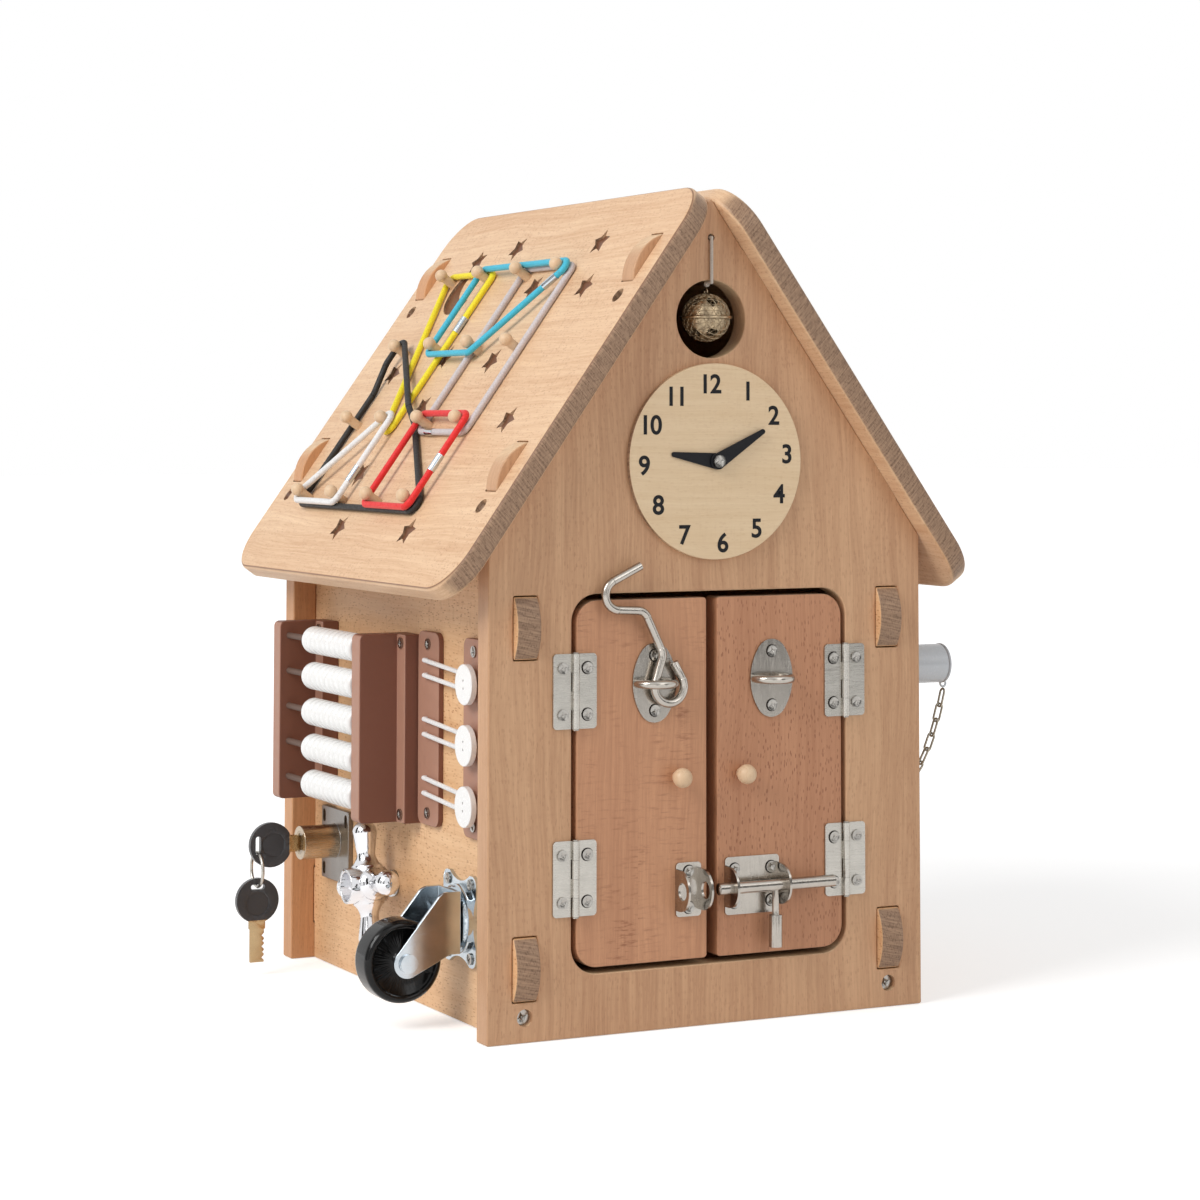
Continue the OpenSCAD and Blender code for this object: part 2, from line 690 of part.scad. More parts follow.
// pointer: broad round hub tapering to a blunt tip
module pointer(l, z) {
    hub = 4.2;
    tip = 1.3;
    translate([0, 0, z]) difference() {
        linear_extrude(0.9) {
            circle(hub);
            translate([l - tip, 0]) circle(tip);
            polygon([[0.5, -hub * 0.98], [l - tip, -tip * 0.98], [l - tip, tip * 0.98],
                [0.5, hub * 0.98]]);
        }
        translate([0, 0, -1]) cylinder(r = scr_r + 0.05, h = 3);
    }
}
module hour_hand() {
    color("DimGray") front(clock_x, clock_z) rotate([0, 0, 172]) pointer(26.5, clock_t + 0.3);
}
module minute_hand() {
    color("DimGray") front(clock_x, clock_z) rotate([0, 0, 30]) pointer(31.5, clock_t + 1.5);
}

// ---------- bell ----------
module bell() {
    color("Goldenrod") translate([-0.5, bell_y, bell_z]) {
        difference() {
            rotate_extrude() difference() {
                union() {
                    circle(bell_r);
                    translate([0, -0.7]) square([bell_r + 1.4, 1.4]);
                }
                circle(bell_r - 1.2);
                translate([-30, -30]) square([30, 60]);
                translate([-1, -30]) square([3.5, 25]);
            }
            for (a = [22.5:60:322.5], t = [48, 180 - 48]) rotate([0, 0, a]) rotate([0, t, 0])
                translate([0, 0, 4]) cylinder(r = 2.9, h = 16);
        }
        translate([0, 0, bell_r + 1.1]) rotate([0, 90, 0]) rotate_extrude()
            translate([1.5, 0]) circle(0.5);
    }
}

// ---------- abacus ----------
module bracket(y) {
    // L shape seen from above, corners at the outer end eased
    translate([-wall_x, y[0], ab_z0 + abacus_h / 2]) rotate([-90, 0, 0]) rotate([0, 0, 180])
        linear_extrude(y[1] - y[0]) tab2d(ab_out, abacus_h, ab_r);
    translate([-wall_x - 10, y[0] - ab_foot, ab_z0]) cube([10, ab_foot + 0.1, abacus_h]);
}
module rod_at(k) { translate([-wall_x - ab_off, 0, rod_z0 + k * rod_pitch]) children(); }
module abacus_brackets() {
    color("Sienna") difference() {
        union() { bracket(ab_front); bracket(ab_back); }
        abacus_spots() small_pilot(20);
        for (k = [0:4]) rod_at(k) translate([0, ab_front[0] + 3, 0]) rotate([-90, 0, 0])
            cylinder(r = rod_r + 0.02, h = ab_back[1] - ab_front[0] - 6);
    }
}
module abacus_rods() {
    color("SaddleBrown") for (k = [0:4]) rod_at(k) translate([0, ab_front[0] + 3.1, 0])
        rotate([-90, 0, 0]) cylinder(r = rod_r, h = ab_back[1] - ab_front[0] - 6.2);
}
module beads(k) {
    b = bead_d / 2;
    color("White") rod_at(k) for (i = [0:bead_n - 1])
        translate([0, ab_front[1] + 0.3 + i * bead_w, 0]) rotate([-90, 0, 0]) rotate_extrude()
            polygon([[rod_r + 0.4, 0], [b - 1.6, 0], [b - 0.4, 0.9], [b, 2.2], [b, bead_w - 2.3],
                [b - 0.4, bead_w - 1], [b - 1.6, bead_w - 0.1], [rod_r + 0.4, bead_w - 0.1]]);
}
module beads_1() { beads(0); }
module beads_2() { beads(1); }
module beads_3() { beads(2); }
module beads_4() { beads(3); }
module beads_5() { beads(4); }

// ---------- button lacing ----------
module lacing_strips() {
    color("RosyBrown") difference() {
        for (y = strip_ys) left(y, strip_z0 + strip_h / 2) linear_extrude(strip_t)
            rrect(strip_w, strip_h, 5);
        left_spots() small_pilot(20);
        for (z = lace_zs, a = [-1, 1]) left(strip_ys[0] + 1.8, z + a * lace_half)
            translate([0, 0, -1]) cylinder(r = cord_r + 0.1, h = 8);
    }
}
button_back = strip_t + 0.3 + 2 * cord_r + 0.3;
module buttons() {
    color("White") for (z = button_zs) left(strip_ys[1] - 0.3, z) difference() {
        translate([0, 0, button_back]) cylinder(d = button_d, h = 3.3);
        for (a = [-1, 1]) translate([0, a * 2, 0]) cylinder(r = 0.7, h = 20);
    }
}
// lacing loops, button shanks and the bell string
module cords() {
    color("WhiteSmoke") {
        run = strip_ys[0] + 1.8 - (strip_ys[1] - 0.3);
        for (i = [0:2]) {
            dz = lace_zs[i] - button_zs[i];
            left(strip_ys[1] - 0.3, button_zs[i]) {
                translate([0, 0, strip_t]) cylinder(r = 1.8, h = button_back - strip_t);
                translate([0, 0, strip_t + 0.3 + cord_r]) rotate([0, 0, -atan2(dz, run)]) {
                    rotate([0, 0, -90]) rotate_extrude(angle = 180) translate([lace_half, 0]) circle(cord_r);
                    for (a = [-1, 1]) translate([0, a * lace_half, 0]) rotate([0, -90, 0])
                        cylinder(r = cord_r, h = norm([run, dz]));
                }
            }
            for (a = [-1, 1]) left(strip_ys[0] + 1.8, lace_zs[i] + a * lace_half) {
                translate([0, 0, 0.2]) cylinder(r = cord_r, h = strip_t + 0.1 + cord_r);
                translate([0, 0, strip_t + 0.3 + cord_r]) sphere(cord_r * 1.03);
            }
        }
        // bell string down the gable from its hole, knot over the bell
        x = -0.5;
        front(x, string_z) translate([0, 0, -9]) cylinder(r = 0.9, h = 10.2);
        top = string_z;
        edge = bell_hole_z + bell_hole_d / 2 - 1.2;
        bar([x, front_y - 1.2, top], [x, front_y - 1.2, edge], 0.9);
        bar([x, front_y - 1.2, edge], [x, bell_y, edge - 0.3], 0.9);
        for (q = [[x, front_y - 1.2, top], [x, front_y - 1.2, edge]]) translate(q) sphere(0.93);
        translate([x, bell_y - 1, edge - 0.8]) sphere(1.5);
    }
}

// ---------- lock and keys ----------
module lock_body() {
    color("Silver") left(lock_yz[0], lock_yz[1]) difference() {
        union() {
            translate([0, -2.2, 0]) linear_extrude(3) rrect(40, 40, 1.5);
            cylinder(d = barrel_d, h = barrel_l);
        }
        translate([0, 0, 2]) cylinder(r = 6.05, h = barrel_l);
        for (a = [-1, 1], b = [-1, 1]) translate([a * 16, b * 14.5 - 2.2, -1])
            linear_extrude(5) rrect(4, 7, 1.9);
    }
}
module lock_plug() {
    color("Silver") left(lock_yz[0], lock_yz[1]) difference() {
        translate([0, 0, 2.1]) cylinder(r = 6, h = barrel_l - 2.3);
        translate([-1.15, -4.2, 4]) cube([2.3, 8.4, barrel_l]);
    }
}
// flat key lying in the local y-z plane, head centre at z = c
module key_shape(c, slot_long) {
    rotate([0, -90, 0]) translate([0, 0, -1.5]) {
        difference() {
            union() {
                translate([c, 0, 0.5]) cylinder(r = 12.2, h = 2);
                translate([c, 0, 0]) difference() {
                    cylinder(r = 12.2, h = 3);
                    translate([-1.5, 0, -1]) cylinder(r = 6.6, h = 5);
                }
            }
            if (slot_long) translate([c + 7.6, 0, -1]) linear_extrude(5) rrect(3, 10, 1.4);
            else translate([c + 7.4, 0, -1]) linear_extrude(5) rrect(2.8, 8, 1.3);
        }
        translate([c - 15.5, -4.5, 0.35]) cube([4.5, 9, 2.3]);
        translate([c - 33.5, 0, 0.55]) linear_extrude(1.9) difference() {
            translate([0, -3.9]) square([18.2, 7.8]);
            for (k = [0:4]) translate([2.4 + 3 * k, 3.9]) rotate(45)
                square(k % 2 == 0 ? 1.9 : 1.3, center = true);
        }
    }
}
module key() {
    color("DimGray") left(lock_yz[0], lock_yz[1]) key_shape(key_off, true);
}
ring_y = -4.1 - ring_R + 0.3;               // ring centre below the key's axis
module key_ring() {
    color("Silver") left(lock_yz[0], lock_yz[1]) translate([0, ring_y, key_off + 7.6])
        rotate_extrude() translate([ring_R, 0]) circle(0.9);
}
module spare_key() {
    color("DimGray") left(lock_yz[0], lock_yz[1])
        translate([0, ring_y - ring_R - 0.2 - 7.4, key_off + 7.6]) rotate([-90, 0, 0])
            key_shape(0, false);
}

// ---------- tap ----------
module tap_spindle() {
    color("Silver") left(tap_yz[0], tap_yz[1]) {
        translate([0, 0, -8.5]) cylinder(r = 4, h = 24);
        cylinder(r = 7, h = 3);
    }
}
// one rounded arm, turned about its own axis, from the hub outwards
module tap_lobe() {
    end_r = 6.6;
    e = tap_arm - end_r - 0.1;
    neck = 4.9;
    neck_at = 17;
    flare = 9;                              // radius of the sweep into the hub
    rotate_extrude() {
        difference() {
            translate([0, 5]) square([8.4, neck_at - 5]);
            translate([neck + flare, neck_at]) circle(flare);
        }
        polygon([[0, neck_at - 0.1], [neck, neck_at - 0.1], [end_r, e], [0, e]]);
        intersection() {
            translate([0, e - 0.01]) circle(end_r);
            translate([0, e - 0.01]) square(end_r + 1);
        }
    }
}
module tap_handle() {
    color("Gainsboro") left(tap_yz[0], tap_yz[1]) {
        difference() {
            union() {
                translate([0, 0, 6.5]) cylinder(r = 9.2, h = 21.5);
                translate([0, 0, 15.5]) for (a = [0:90:270]) rotate([0, 0, tap_tilt + a])
                    rotate([0, 90, 0]) tap_lobe();
            }
            translate([0, 0, 17]) cylinder(r = 7.2, h = 20);
            translate([0, 0, 4]) cylinder(r = 4.05, h = 20);
        }
    }
}

// ---------- caster ----------
module caster_plate() {
    color("Silver") left(caster_yz[0], caster_yz[1]) difference() {
        union() {
            linear_extrude(2) difference() {
                rrect(40.6, 45.6, 5);
                for (a = [-1, 1]) {
                    translate([0, a * 41]) circle(22);
                    translate([a * 41, 0]) circle(24);
                }
            }
            cylinder(r = 17.4, h = 4.5);
            translate([0, 0, 4.4]) cylinder(r1 = 17.4, r2 = 15, h = 2);
            cylinder(r = 4, h = 11);
            translate([0, 0, 10]) cylinder(r = 6, h = 1.6);
        }
        for (a = [-1, 1], b = [-1, 1]) translate([a * 13.8, b * 18.4, 0]) small_pilot(20);
    }
}
fork_half = 15.5;                           // half height of the fork at the plate
fork_base = 7;                              // its back stands this far off the wall
// side of the fork as [height, out]: a broad rounded shoulder down to the axle
module arm2d() {
    axle = [-trail, axle_off];
    shoulder = 7;
    corner = [fork_half - shoulder, fork_base + shoulder];
    difference() {
        union() {
            translate([-fork_half, fork_base]) square([2 * fork_half, shoulder]);
            taper2d(corner, shoulder, axle, 7.5);
            taper2d([-corner[0], corner[1]], shoulder, axle, 7.5);
            polygon([corner, [-corner[0], corner[1]], axle]);
        }
        translate(axle) circle(2.55);
    }
}
module caster_fork() {
    color("Silver") left(caster_yz[0], caster_yz[1]) {
        difference() {
            union() {
                translate([0, 0, fork_base]) linear_extrude(2) rrect(26.4, 2 * fork_half, 2);
                for (s = [-1, 1]) translate([s > 0 ? 11.2 : -13.2, 0, 0])
                    rotate([90, 0, 90]) linear_extrude(2) arm2d();
            }
            translate([0, 0, 6]) cylinder(r = 4.05, h = 10);
        }
        // axle bolt
        translate([-14.6, -trail, axle_off]) rotate([0, 90, 0]) {
            cylinder(r = 2.5, h = 29.2);
            cylinder(r = 4.6, h = 1.4);
            translate([0, 0, 27.8]) cylinder(r = 4.6, h = 1.8);
        }
    }
}
module caster_wheel() {
    w = wheel_w; r = wheel_d / 2;
    color("DimGray") left(caster_yz[0], caster_yz[1]) translate([-w / 2, -trail, axle_off])
        rotate([0, 90, 0]) rotate_extrude() polygon([[2.58, -1.8], [6, -1.8], [6, 3], [r - 4, 3],
            [r - 4, 0], [r - 2, 0], [r - 0.4, 1.6], [r, 3.4], [r, w - 3.4], [r - 0.4, w - 1.6],
            [r - 2, w], [r - 4, w], [r - 4, w - 3], [6, w - 3], [6, w + 1.8], [2.58, w + 1.8]]);
}

// ---------- drain tube, stopper and chain ----------
module pipe_socket() {
    color("Gainsboro") right(tube_yz[0], tube_yz[1]) difference() {
        translate([0, 0, -panel_t]) cylinder(d = tube_d, h = tube_l + panel_t);
        translate([0, 0, -panel_t - 1]) cylinder(d = tube_d - 4, h = tube_l + panel_t + 2);
    }
}
module stopper() {
    color("LightGrey") right(tube_yz[0], tube_yz[1]) {
        translate([0, 0, tube_l - 8]) cylinder(d = tube_d - 4.6, h = 8.1);
        translate([0, 0, tube_l + 0.05]) cylinder(d = tube_d + 0.4, h = 1.4);
        translate([0, 0, tube_l + 1.4]) cylinder(r1 = tube_d / 2 + 0.2, r2 = 3, h = 3.6);
        // eye for the chain
        translate([0, stopper_eye[0], stopper_eye[1]]) rotate([90, 0, 90]) rotate_extrude()
            translate([stopper_eye[2], 0]) circle(0.6);
    }
}
// the chain hangs as a row of equal links does: each link's slope grows evenly along
// it, and "slack" is found so that the last link ends in the wall's eye
function link_dir(i, slack) =
    let (t = atan((i - link_low) / slack)) [-cos(t), sin(t)];
function link_at(i, slack) = i == 0 ? link_half * link_dir(0, slack)
    : link_at(i - 1, slack) + link_step / 2 * (link_dir(i - 1, slack) + link_dir(i, slack));
function chain_end(slack) =
    link_at(link_n - 1, slack) + link_half * link_dir(link_n - 1, slack);
function find_slack(a, b, reach, n) = let (m = (a + b) / 2) n == 0 ? m
    : -chain_end(m)[0] > reach ? find_slack(a, m, reach, n - 1) : find_slack(m, b, reach, n - 1);
// the first link ends just under the stopper's eye, so that the stopper slides past it
chain_top = [stopper_eye[1], stopper_eye[0] - stopper_eye[2] - 2 * chain_wire - 0.05];
chain_foot = wall_eye[0] + wall_eye[1] - wall_eye[2] - chain_wire - 0.05;
slack = find_slack(0.2, 8, chain_top[0] - chain_foot, 24);
chain_eye_z = tube_yz[1] + chain_top[1] + chain_end(slack)[1];
module link() {
    // flat oval link, long axis X
    reach = link_half - link_side;
    for (s = [-1, 1]) {
        translate([-reach, s * link_side, 0]) rotate([0, 90, 0])
            cylinder(r = chain_wire, h = 2 * reach);
        translate([s * reach, 0, 0]) rotate([0, 0, s > 0 ? -90 : 90])
            rotate_extrude(angle = 180) translate([link_side, 0]) circle(chain_wire);
    }
}
module chain() {
    color("Silver") {
        right(tube_yz[0], tube_yz[1]) translate([0, chain_top[1], chain_top[0]])
            rotate([0, -90, 0]) for (i = [0:link_n - 1]) {
                d = link_dir(i, slack);
                translate(link_at(i, slack)) rotate([0, 0, atan2(d[1], d[0])])
                    rotate([i % 2 == 0 ? 90 : 0, 0, 0]) link();
            }
        right(tube_yz[0], chain_eye_z) {
            translate([0, 0, -8]) cylinder(r = 0.8, h = 9.2);
            translate([0, 0, wall_eye[0]]) rotate([90, 0, 90]) rotate_extrude()
                translate([wall_eye[1], 0]) circle(wall_eye[2]);
        }
    }
}

// ---------- screws ----------
module screws() {
    color("Silver") {
        front_frame_screws() frame_screw();
        back_frame_screws() frame_screw();
        for (m = [0, 1]) mirror([m, 0, 0]) slope() roof_screw_spots() frame_screw();
        frame_hinge_spots() translate([0, 0, leaf_t]) small_screw();
        left_spots() small_screw(12);
        abacus_spots() small_screw(20);
        front(clock_x, clock_z) translate([0, 0, clock_t + 2.6]) small_screw(14, 3.3, 1.2);
    }
}
module left_door_screws() {
    color("Silver") {
        door_hinge_spots(-1) translate([0, 0, leaf_t]) small_screw();
        eye_spots(0) translate([0, 0, leaf_t]) small_screw();
        keep_spots() translate([0, 0, leaf_t]) small_screw();
    }
}
module right_door_screws() {
    color("Silver") {
        door_hinge_spots(1) translate([0, 0, leaf_t]) small_screw();
        eye_spots(1) translate([0, 0, leaf_t]) small_screw();
        base_spots() translate([0, 0, leaf_t]) small_screw();
    }
}

front_panel();
back_panel();
left_panel();
right_panel();
floor_panel();
roof_left();
roof_right();
screws();
frame_hinge_leaves();
hinge_pins();
pegs();
band_yellow();
band_blue();
band_grey();
band_red();
band_black();
band_white();
band_crimps();
abacus_brackets();
abacus_rods();
lacing_strips();
buttons();
cords();
lock_body();
tap_spindle();
caster_plate();
clock_face();
pipe_socket();
stopper();
chain();
left_door();
left_knob();
left_hinge_leaves();
left_door_screws();
hook_plate_left();
bolt_keeper();
right_door();
right_knob();
right_hinge_leaves();
right_door_screws();
hook_plate_right();
bolt_base();
hook();
bolt_rod();
hour_hand();
minute_hand();
bell();
beads_1();
beads_2();
beads_3();
beads_4();
beads_5();
lock_plug();
key();
key_ring();
spare_key();
tap_handle();
caster_fork();
caster_wheel();
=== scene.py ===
"""Dresses a house-shaped wooden busy board in beech, steel, plastic and elastic, in a plain studio."""

import json
import logging
import math
from dataclasses import dataclass
from enum import Enum
from typing import Callable, Sequence

import bmesh
import bpy
from mathutils import Matrix, Vector

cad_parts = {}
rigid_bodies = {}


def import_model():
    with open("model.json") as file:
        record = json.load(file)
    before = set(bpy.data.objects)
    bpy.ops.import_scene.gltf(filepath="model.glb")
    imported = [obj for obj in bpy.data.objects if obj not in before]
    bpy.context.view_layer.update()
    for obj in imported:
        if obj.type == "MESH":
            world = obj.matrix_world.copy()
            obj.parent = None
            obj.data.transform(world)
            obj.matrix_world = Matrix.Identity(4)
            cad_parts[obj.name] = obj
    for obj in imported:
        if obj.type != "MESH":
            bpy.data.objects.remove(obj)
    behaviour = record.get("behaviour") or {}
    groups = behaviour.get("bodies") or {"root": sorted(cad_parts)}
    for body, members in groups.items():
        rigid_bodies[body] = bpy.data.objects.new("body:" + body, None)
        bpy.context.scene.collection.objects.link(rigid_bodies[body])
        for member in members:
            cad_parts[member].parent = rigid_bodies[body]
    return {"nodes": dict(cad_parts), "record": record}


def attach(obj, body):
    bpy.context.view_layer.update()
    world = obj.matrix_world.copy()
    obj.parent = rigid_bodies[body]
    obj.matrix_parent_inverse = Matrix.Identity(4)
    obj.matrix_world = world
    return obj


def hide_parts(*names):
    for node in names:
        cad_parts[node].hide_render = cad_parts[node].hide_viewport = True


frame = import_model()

LOG = logging.getLogger("busy_board")
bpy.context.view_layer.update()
MM = 0.001
PER_METRE = 1000.0
Triple = tuple[float, float, float]
Socket = bpy.types.NodeSocket

# The house's own measures, in millimetres.
ROOF_PITCH = 54.4
FRONT_Y = -140.5
APEX_Z = 418.9
ROOF_T = 11.5
WALL_X = 111.2


class Axis(Enum):
    """The three directions of the house."""

    X = (1.0, 0.0, 0.0)
    Y = (0.0, 1.0, 0.0)
    Z = (0.0, 0.0, 1.0)


# ---------------------------------------------------------------- shader helpers
# Noise hardly leaves this range, so patterns are stretched from it.
CORE = (0.3, 0.7)


class Graph:
    """Adds shader nodes to one tree and joins them."""

    def __init__(self, tree: bpy.types.NodeTree) -> None:
        """Keeps the tree.

        Args:
            tree: the material's or group's node tree.
        """
        self.tree = tree

    def add(self, kind: str, **values: object) -> bpy.types.Node:
        """Adds a node and sets its properties.

        Args:
            kind: the node's type without "ShaderNode" in front.
            values: properties of the node by name.

        Returns:
            The new node.
        """
        node = self.tree.nodes.new("ShaderNode" + kind)
        for key, value in values.items():
            setattr(node, key, value)
        return node

    def feed(self, socket: Socket, value: object) -> None:
        """Links a socket to another one, or sets its value.

        Args:
            socket: the input.
            value: an output socket, or a number, colour or vector.
        """
        if isinstance(value, Socket):
            self.tree.links.new(value, socket)
        elif value is not None:
            if socket.type == "RGBA" and len(value) == 3:
                value = (*value, 1.0)
            socket.default_value = value

    def math(self, operation: str, a: object, b: object = None, c: object = None) -> Socket:
        """A Math node.

        Args:
            operation: the node's operation.
            a: first input.
            b: second input.
            c: third input.

        Returns:
            Its output.
        """
        node = self.add("Math", operation=operation)
        for socket, value in zip(node.inputs, (a, b, c)):
            self.feed(socket, value)
        return node.outputs[0]

    def vector(self, operation: str, a: object, b: object = None, scale: object = None) -> Socket:
        """A Vector Math node.

        Args:
            operation: the node's operation.
            a: first vector.
            b: second vector.
            scale: the factor of a SCALE.

        Returns:
            The value of a dot product or length, and otherwise the vector.
        """
        node = self.add("VectorMath", operation=operation)
        self.feed(node.inputs[0], a)
        if b is not None:
            self.feed(node.inputs[1], b)
        if scale is not None:
            self.feed(node.inputs["Scale"], scale)
        return node.outputs["Value" if operation in ("DOT_PRODUCT", "LENGTH", "DISTANCE") else "Vector"]

    def combine(self, x: object, y: object, z: object) -> Socket:
        """Joins three numbers into a vector and returns it."""
        node = self.add("CombineXYZ")
        for socket, value in zip(node.inputs, (x, y, z)):
            self.feed(socket, value)
        return node.outputs[0]

    def noise(self, vector: object, scale: float, detail: float = 2.0, rough: float = 0.5) -> Socket:
        """A Noise texture's value.

        Args:
            vector: where it is read.
            scale: how fine it is.
            detail: octaves.
            rough: how strong the fine octaves are.

        Returns:
            The value from 0 to 1.
        """
        node = self.add("TexNoise", noise_dimensions="3D")
        for name, value in (("Vector", vector), ("Scale", scale), ("Detail", detail), ("Roughness", rough)):
            self.feed(node.inputs[name], value)
        return node.outputs[0]

    def cells(self, vector: object, jitter: float = 1.0) -> Socket:
        """Distance to the nearest of a cloud of points one unit apart, read at vector."""
        node = self.add("TexVoronoi", feature="F1")
        self.feed(node.inputs["Vector"], vector)
        self.feed(node.inputs["Scale"], 1.0)
        self.feed(node.inputs["Randomness"], jitter)
        return node.outputs["Distance"]

    def remap(self, value: object, low: float, high: float,
              to_low: float = 0.0, to_high: float = 1.0) -> Socket:
        """A smooth Map Range.

        Args:
            value: the input.
            low: input that gives to_low.
            high: input that gives to_high.
            to_low: output at low.
            to_high: output at high.

        Returns:
            The mapped value.
        """
        node = self.add("MapRange", interpolation_type="SMOOTHSTEP")
        span = (("From Min", low), ("From Max", high), ("To Min", to_low), ("To Max", to_high))
        for name, item in (("Value", value), *span):
            self.feed(node.inputs[name], item)
        return node.outputs[0]

    def mix(self, factor: object, a: object, b: object, blend: str = "MIX") -> Socket:
        """Mixes two colours.

        Args:
            factor: share of b.
            a: first colour.
            b: second colour.
            blend: the blend type.

        Returns:
            The colour.
        """
        node = self.add("Mix", data_type="RGBA", blend_type=blend)
        self.feed(node.inputs[0], factor)
        self.feed(node.inputs[6], a)
        self.feed(node.inputs[7], b)
        return node.outputs[2]

    def total(self, terms: Sequence[tuple[object, float]]) -> Socket:
        """Adds up values, each times its share.

        Args:
            terms: value and share of each term, two or more.

        Returns:
            The sum.
        """
        first, *others = (self.math("MULTIPLY", value, share) for value, share in terms)
        for other in others:
            first = self.math("ADD", first, other)
        return first

    def facing(self, direction: Triple) -> Socket:
        """How squarely the surface faces along a direction, either way, from 0 to 1."""
        normal = self.add("TexCoord").outputs["Normal"]
        return self.math("ABSOLUTE", self.vector("DOT_PRODUCT", normal, direction))

    def bump(self, height: object, strength: float, distance: float) -> Socket:
        """A Bump node's normal.

        Args:
            height: the height, from 0 to 1.
            strength: how much of it shows.
            distance: its depth in metres.

        Returns:
            The normal.
        """
        node = self.add("Bump")
        self.feed(node.inputs["Height"], height)
        self.feed(node.inputs["Strength"], strength)
        self.feed(node.inputs["Distance"], distance)
        return node.outputs[0]


GroupParts = tuple[bpy.types.NodeTree, Graph, bpy.types.Node, bpy.types.Node]


def new_group(name: str, inputs: Sequence[tuple[str, str, object]],
              outputs: Sequence[tuple[str, str]]) -> GroupParts:
    """Starts a shader node group.

    Args:
        name: the group's name.
        inputs: name, socket type and first value of each input.
        outputs: name and socket type of each output.

    Returns:
        The tree, its graph, and its input and output nodes.
    """
    tree = bpy.data.node_groups.new(name, "ShaderNodeTree")
    for label, kind, value in inputs:
        socket = tree.interface.new_socket(label, in_out="INPUT", socket_type=kind)
        if value is not None:
            socket.default_value = value
    for label, kind in outputs:
        tree.interface.new_socket(label, in_out="OUTPUT", socket_type=kind)
    graph = Graph(tree)
    return tree, graph, tree.nodes.new("NodeGroupInput"), tree.nodes.new("NodeGroupOutput")


@dataclass(frozen=True)
class Grain:
    """One layer of a board's figure.

    It has so many features per millimetre across, along and into the board. The noise between low and high
    becomes its pattern, which takes a share of the board's tone.
    """

    per_mm: Triple
    detail: float
    rough: float
    low: float
    high: float
    share: float = 0.0


BANDS = Grain((0.10, 0.004, 0.06), 3.0, 0.6, 0.3, 0.7, share=0.30)
LINES = Grain((0.62, 0.012, 0.5), 2.0, 0.65, 0.28, 0.72, share=0.34)
STREAKS = Grain((1.15, 0.075, 0.9), 2.0, 0.7, 0.30, 0.72, share=0.26)
RIBBONS = Grain((0.10, 0.55, 0.3), 3.0, 0.65, 0.50, 0.72)
STAVE_SHARE = 0.22
DRIFT_MM = 22.0
FLECKS_PER_MM = 0.72
RINGS_PER_MM = 0.19


